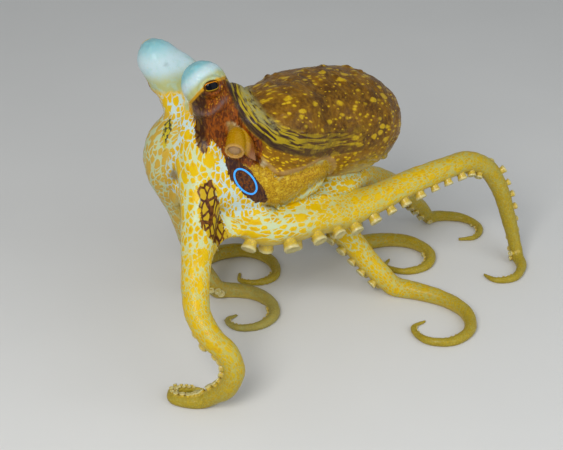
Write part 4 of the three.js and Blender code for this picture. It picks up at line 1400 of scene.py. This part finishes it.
def paint_eye():
    """A black bar pupil edged with gold, in a dark iris."""
    paint = Paint("eye_lens")
    across, up, out = paint.node("SeparateXYZ", [(0, paint.kept("gaze", "Vector"))]).outputs
    bar = paint.plus(*[
        paint.maths("POWER", paint.maths("ABSOLUTE", paint.times(way, 1 / half)), PUPIL_SQUARENESS)
        for way, half in zip((across, up), PUPIL)])
    grain = paint.noise(paint.place(), 0.35)
    edge = paint.times(paint.ramp(bar, 2.1, 1.5), paint.ramp(grain, 0.2, 0.6, 0.65, 1.0))
    edge = paint.times(edge, paint.ramp(paint.maths("ABSOLUTE", up), 0.5, 0.95))
    gold = paint.mix(paint.ramp(up, -0.5, 0.5), *PUPIL_GOLDS)
    colour = paint.mix(edge, paint.mix(grain, *IRIS_BROWNS), gold)
    pupil = paint.times(paint.ramp(bar, 1.25, 0.95), paint.ramp(out, -0.5, 0.5))
    return paint.finish(
        Base_Color=paint.mix(pupil, colour, PUPIL_BLACK), Roughness=paint.ramp(grain, 0, 1, 0.05, 0.1),
        Specular_IOR_Level=0.08)


def paint_funnel():
    """Amber skin that thins to pink at the mouth and the flap's edge."""
    paint = Paint("funnel_skin")
    fine = paint.noise(paint.place(), 0.7)
    run, off, tip = paint.kept("run"), paint.kept("off_tube"), paint.kept("flap_edge")
    mouth = paint.times(paint.ramp(run, 0.9, 1.0), paint.ramp(off, 1.6, 0.8))
    colour = paint.mix(fine, *FUNNEL_AMBERS)
    for share, over in (
            (paint.ramp(run, 0.4, 0.28), FUNNEL_ROOT), (paint.ramp(off, 0.6, 2.5), FLAP_BROWN),
            (paint.times(mouth, 0.8), MOUTH_PINK), (paint.ramp(off, -0.8, -1.4), MOUTH_INSIDE),
            (paint.times(paint.ramp(tip, 4.5, 1.0), 0.7), FLAP_TIP)):
        colour = paint.mix(share, colour, over)
    return paint.finish(
        Base_Color=colour, Roughness=paint.ramp(fine, 0.2, 0.8, 0.22, 0.34),
        Normal=paint.bump(fine, 0.08, 0.4),
        Subsurface_Weight=0.2, Subsurface_Scale=0.0015, Subsurface_Radius=(1.0, 0.5, 0.1), Coat_Weight=0.15,
        Coat_Roughness=0.12, Specular_IOR_Level=0.2)


def paint_floor():
    paint = Paint("studio_floor")
    soft = paint.noise(paint.place(), 60, 3.0)
    return paint.finish(
        Base_Color=paint.mix(soft, *FLOOR_GREYS), Roughness=paint.ramp(soft, 0, 1, 0.7, 0.85))


def dress(piece, material, slot, *replaced):
    piece.data.materials.clear()
    piece.data.materials.append(material)
    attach(piece, "root")
    if replaced:
        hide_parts(*replaced)


# ---- Putting it together ----
def model_skin():
    skin = rough_flesh()
    smooth(skin, 4)
    raise_the_skin(skin, joins_filled)
    smooth(skin, 3)
    finer(skin, near_the_face)
    smooth(skin, 2)
    soften_the_neck(skin)
    raise_the_skin(skin, mantle_edge)
    smooth(skin, 2)
    raise_the_skin(skin, folds_and_creases)
    raise_the_skin(skin, wrinkles)
    fold_the_lids(skin)
    points = points_of(skin)
    points[:, 2] = np.maximum(points[:, 2], 0)  # flat where it rests
    move_points(skin, points)
    mark(skin)
    skin.data.shade_smooth()
    return skin


def add_suckers(skin):
    model = model_of_a_sucker()
    suckers = [suckers_along(arm, model, skin) for arm in arms.values()]
    bpy.data.objects.remove(model)
    return suckers


skin = model_skin()
suckers = add_suckers(skin)
eyes = {side: add_eye(side) for side in STALKS}
funnel = add_funnel()

flesh_nodes = [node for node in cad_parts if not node.startswith("eye") and node != "funnel"]
dress(skin, paint_skin(), "skin", *flesh_nodes)
sucker_skin = paint_suckers()
for piece in suckers:
    dress(piece, sucker_skin, "skin")
eye_lens = paint_eye()
for side, eye in eyes.items():
    dress(eye, eye_lens, "eye", "eye_" + side)
dress(funnel, paint_funnel(), "skin", "funnel")


# ---- Camera, lights and floor ----
WARM_WHITE = (1, 0.98, 0.95)
COOL_WHITE = (0.9, 0.95, 1)
ROOM_WHITE = (0.85, 0.88, 0.9)
ROOM_STRENGTH = 0.42
FLOOR_SIZE = 4  # metres


def add_camera():
    bpy.ops.object.camera_add(location=place(SIDE_EYE), rotation=(np.radians(CAMERA_PITCH), 0, 0))
    camera = bpy.context.object
    camera.name = "camera"
    camera.data.lens = 85
    camera.data.sensor_width = 36
    bpy.context.scene.camera = camera


def add_light(name, at, aim, size, power, colour):
    bpy.ops.object.light_add(type="AREA", location=place(at))
    light = bpy.context.object
    light.name = name
    light.data.size = size
    light.data.energy = power
    light.data.color = colour
    direction = Vector(place(aim) - place(at))
    light.rotation_euler = direction.to_track_quat("-Z", "Y").to_euler()


def add_world():
    world = bpy.data.worlds.new("studio")
    world.use_nodes = True
    background = world.node_tree.nodes["Background"]
    background.inputs["Color"].default_value = (*ROOM_WHITE, 1)
    background.inputs["Strength"].default_value = ROOM_STRENGTH
    bpy.context.scene.world = world
    bpy.context.scene.view_settings.view_transform = "Standard"


def add_floor():
    bpy.ops.mesh.primitive_plane_add(size=FLOOR_SIZE, location=place((30, 0, 0)))
    floor = bpy.context.object
    floor.name = "floor"
    apply_place(floor)
    floor.data.materials.append(paint_floor())


add_camera()
add_light("key_light", at=(-120, -410, 400), aim=(0, 0, 60), size=0.25, power=2.0, colour=WARM_WHITE)
add_light("fill_light", at=(380, -260, 260), aim=(20, 0, 40), size=0.5, power=1.0, colour=COOL_WHITE)
add_world()
add_floor()
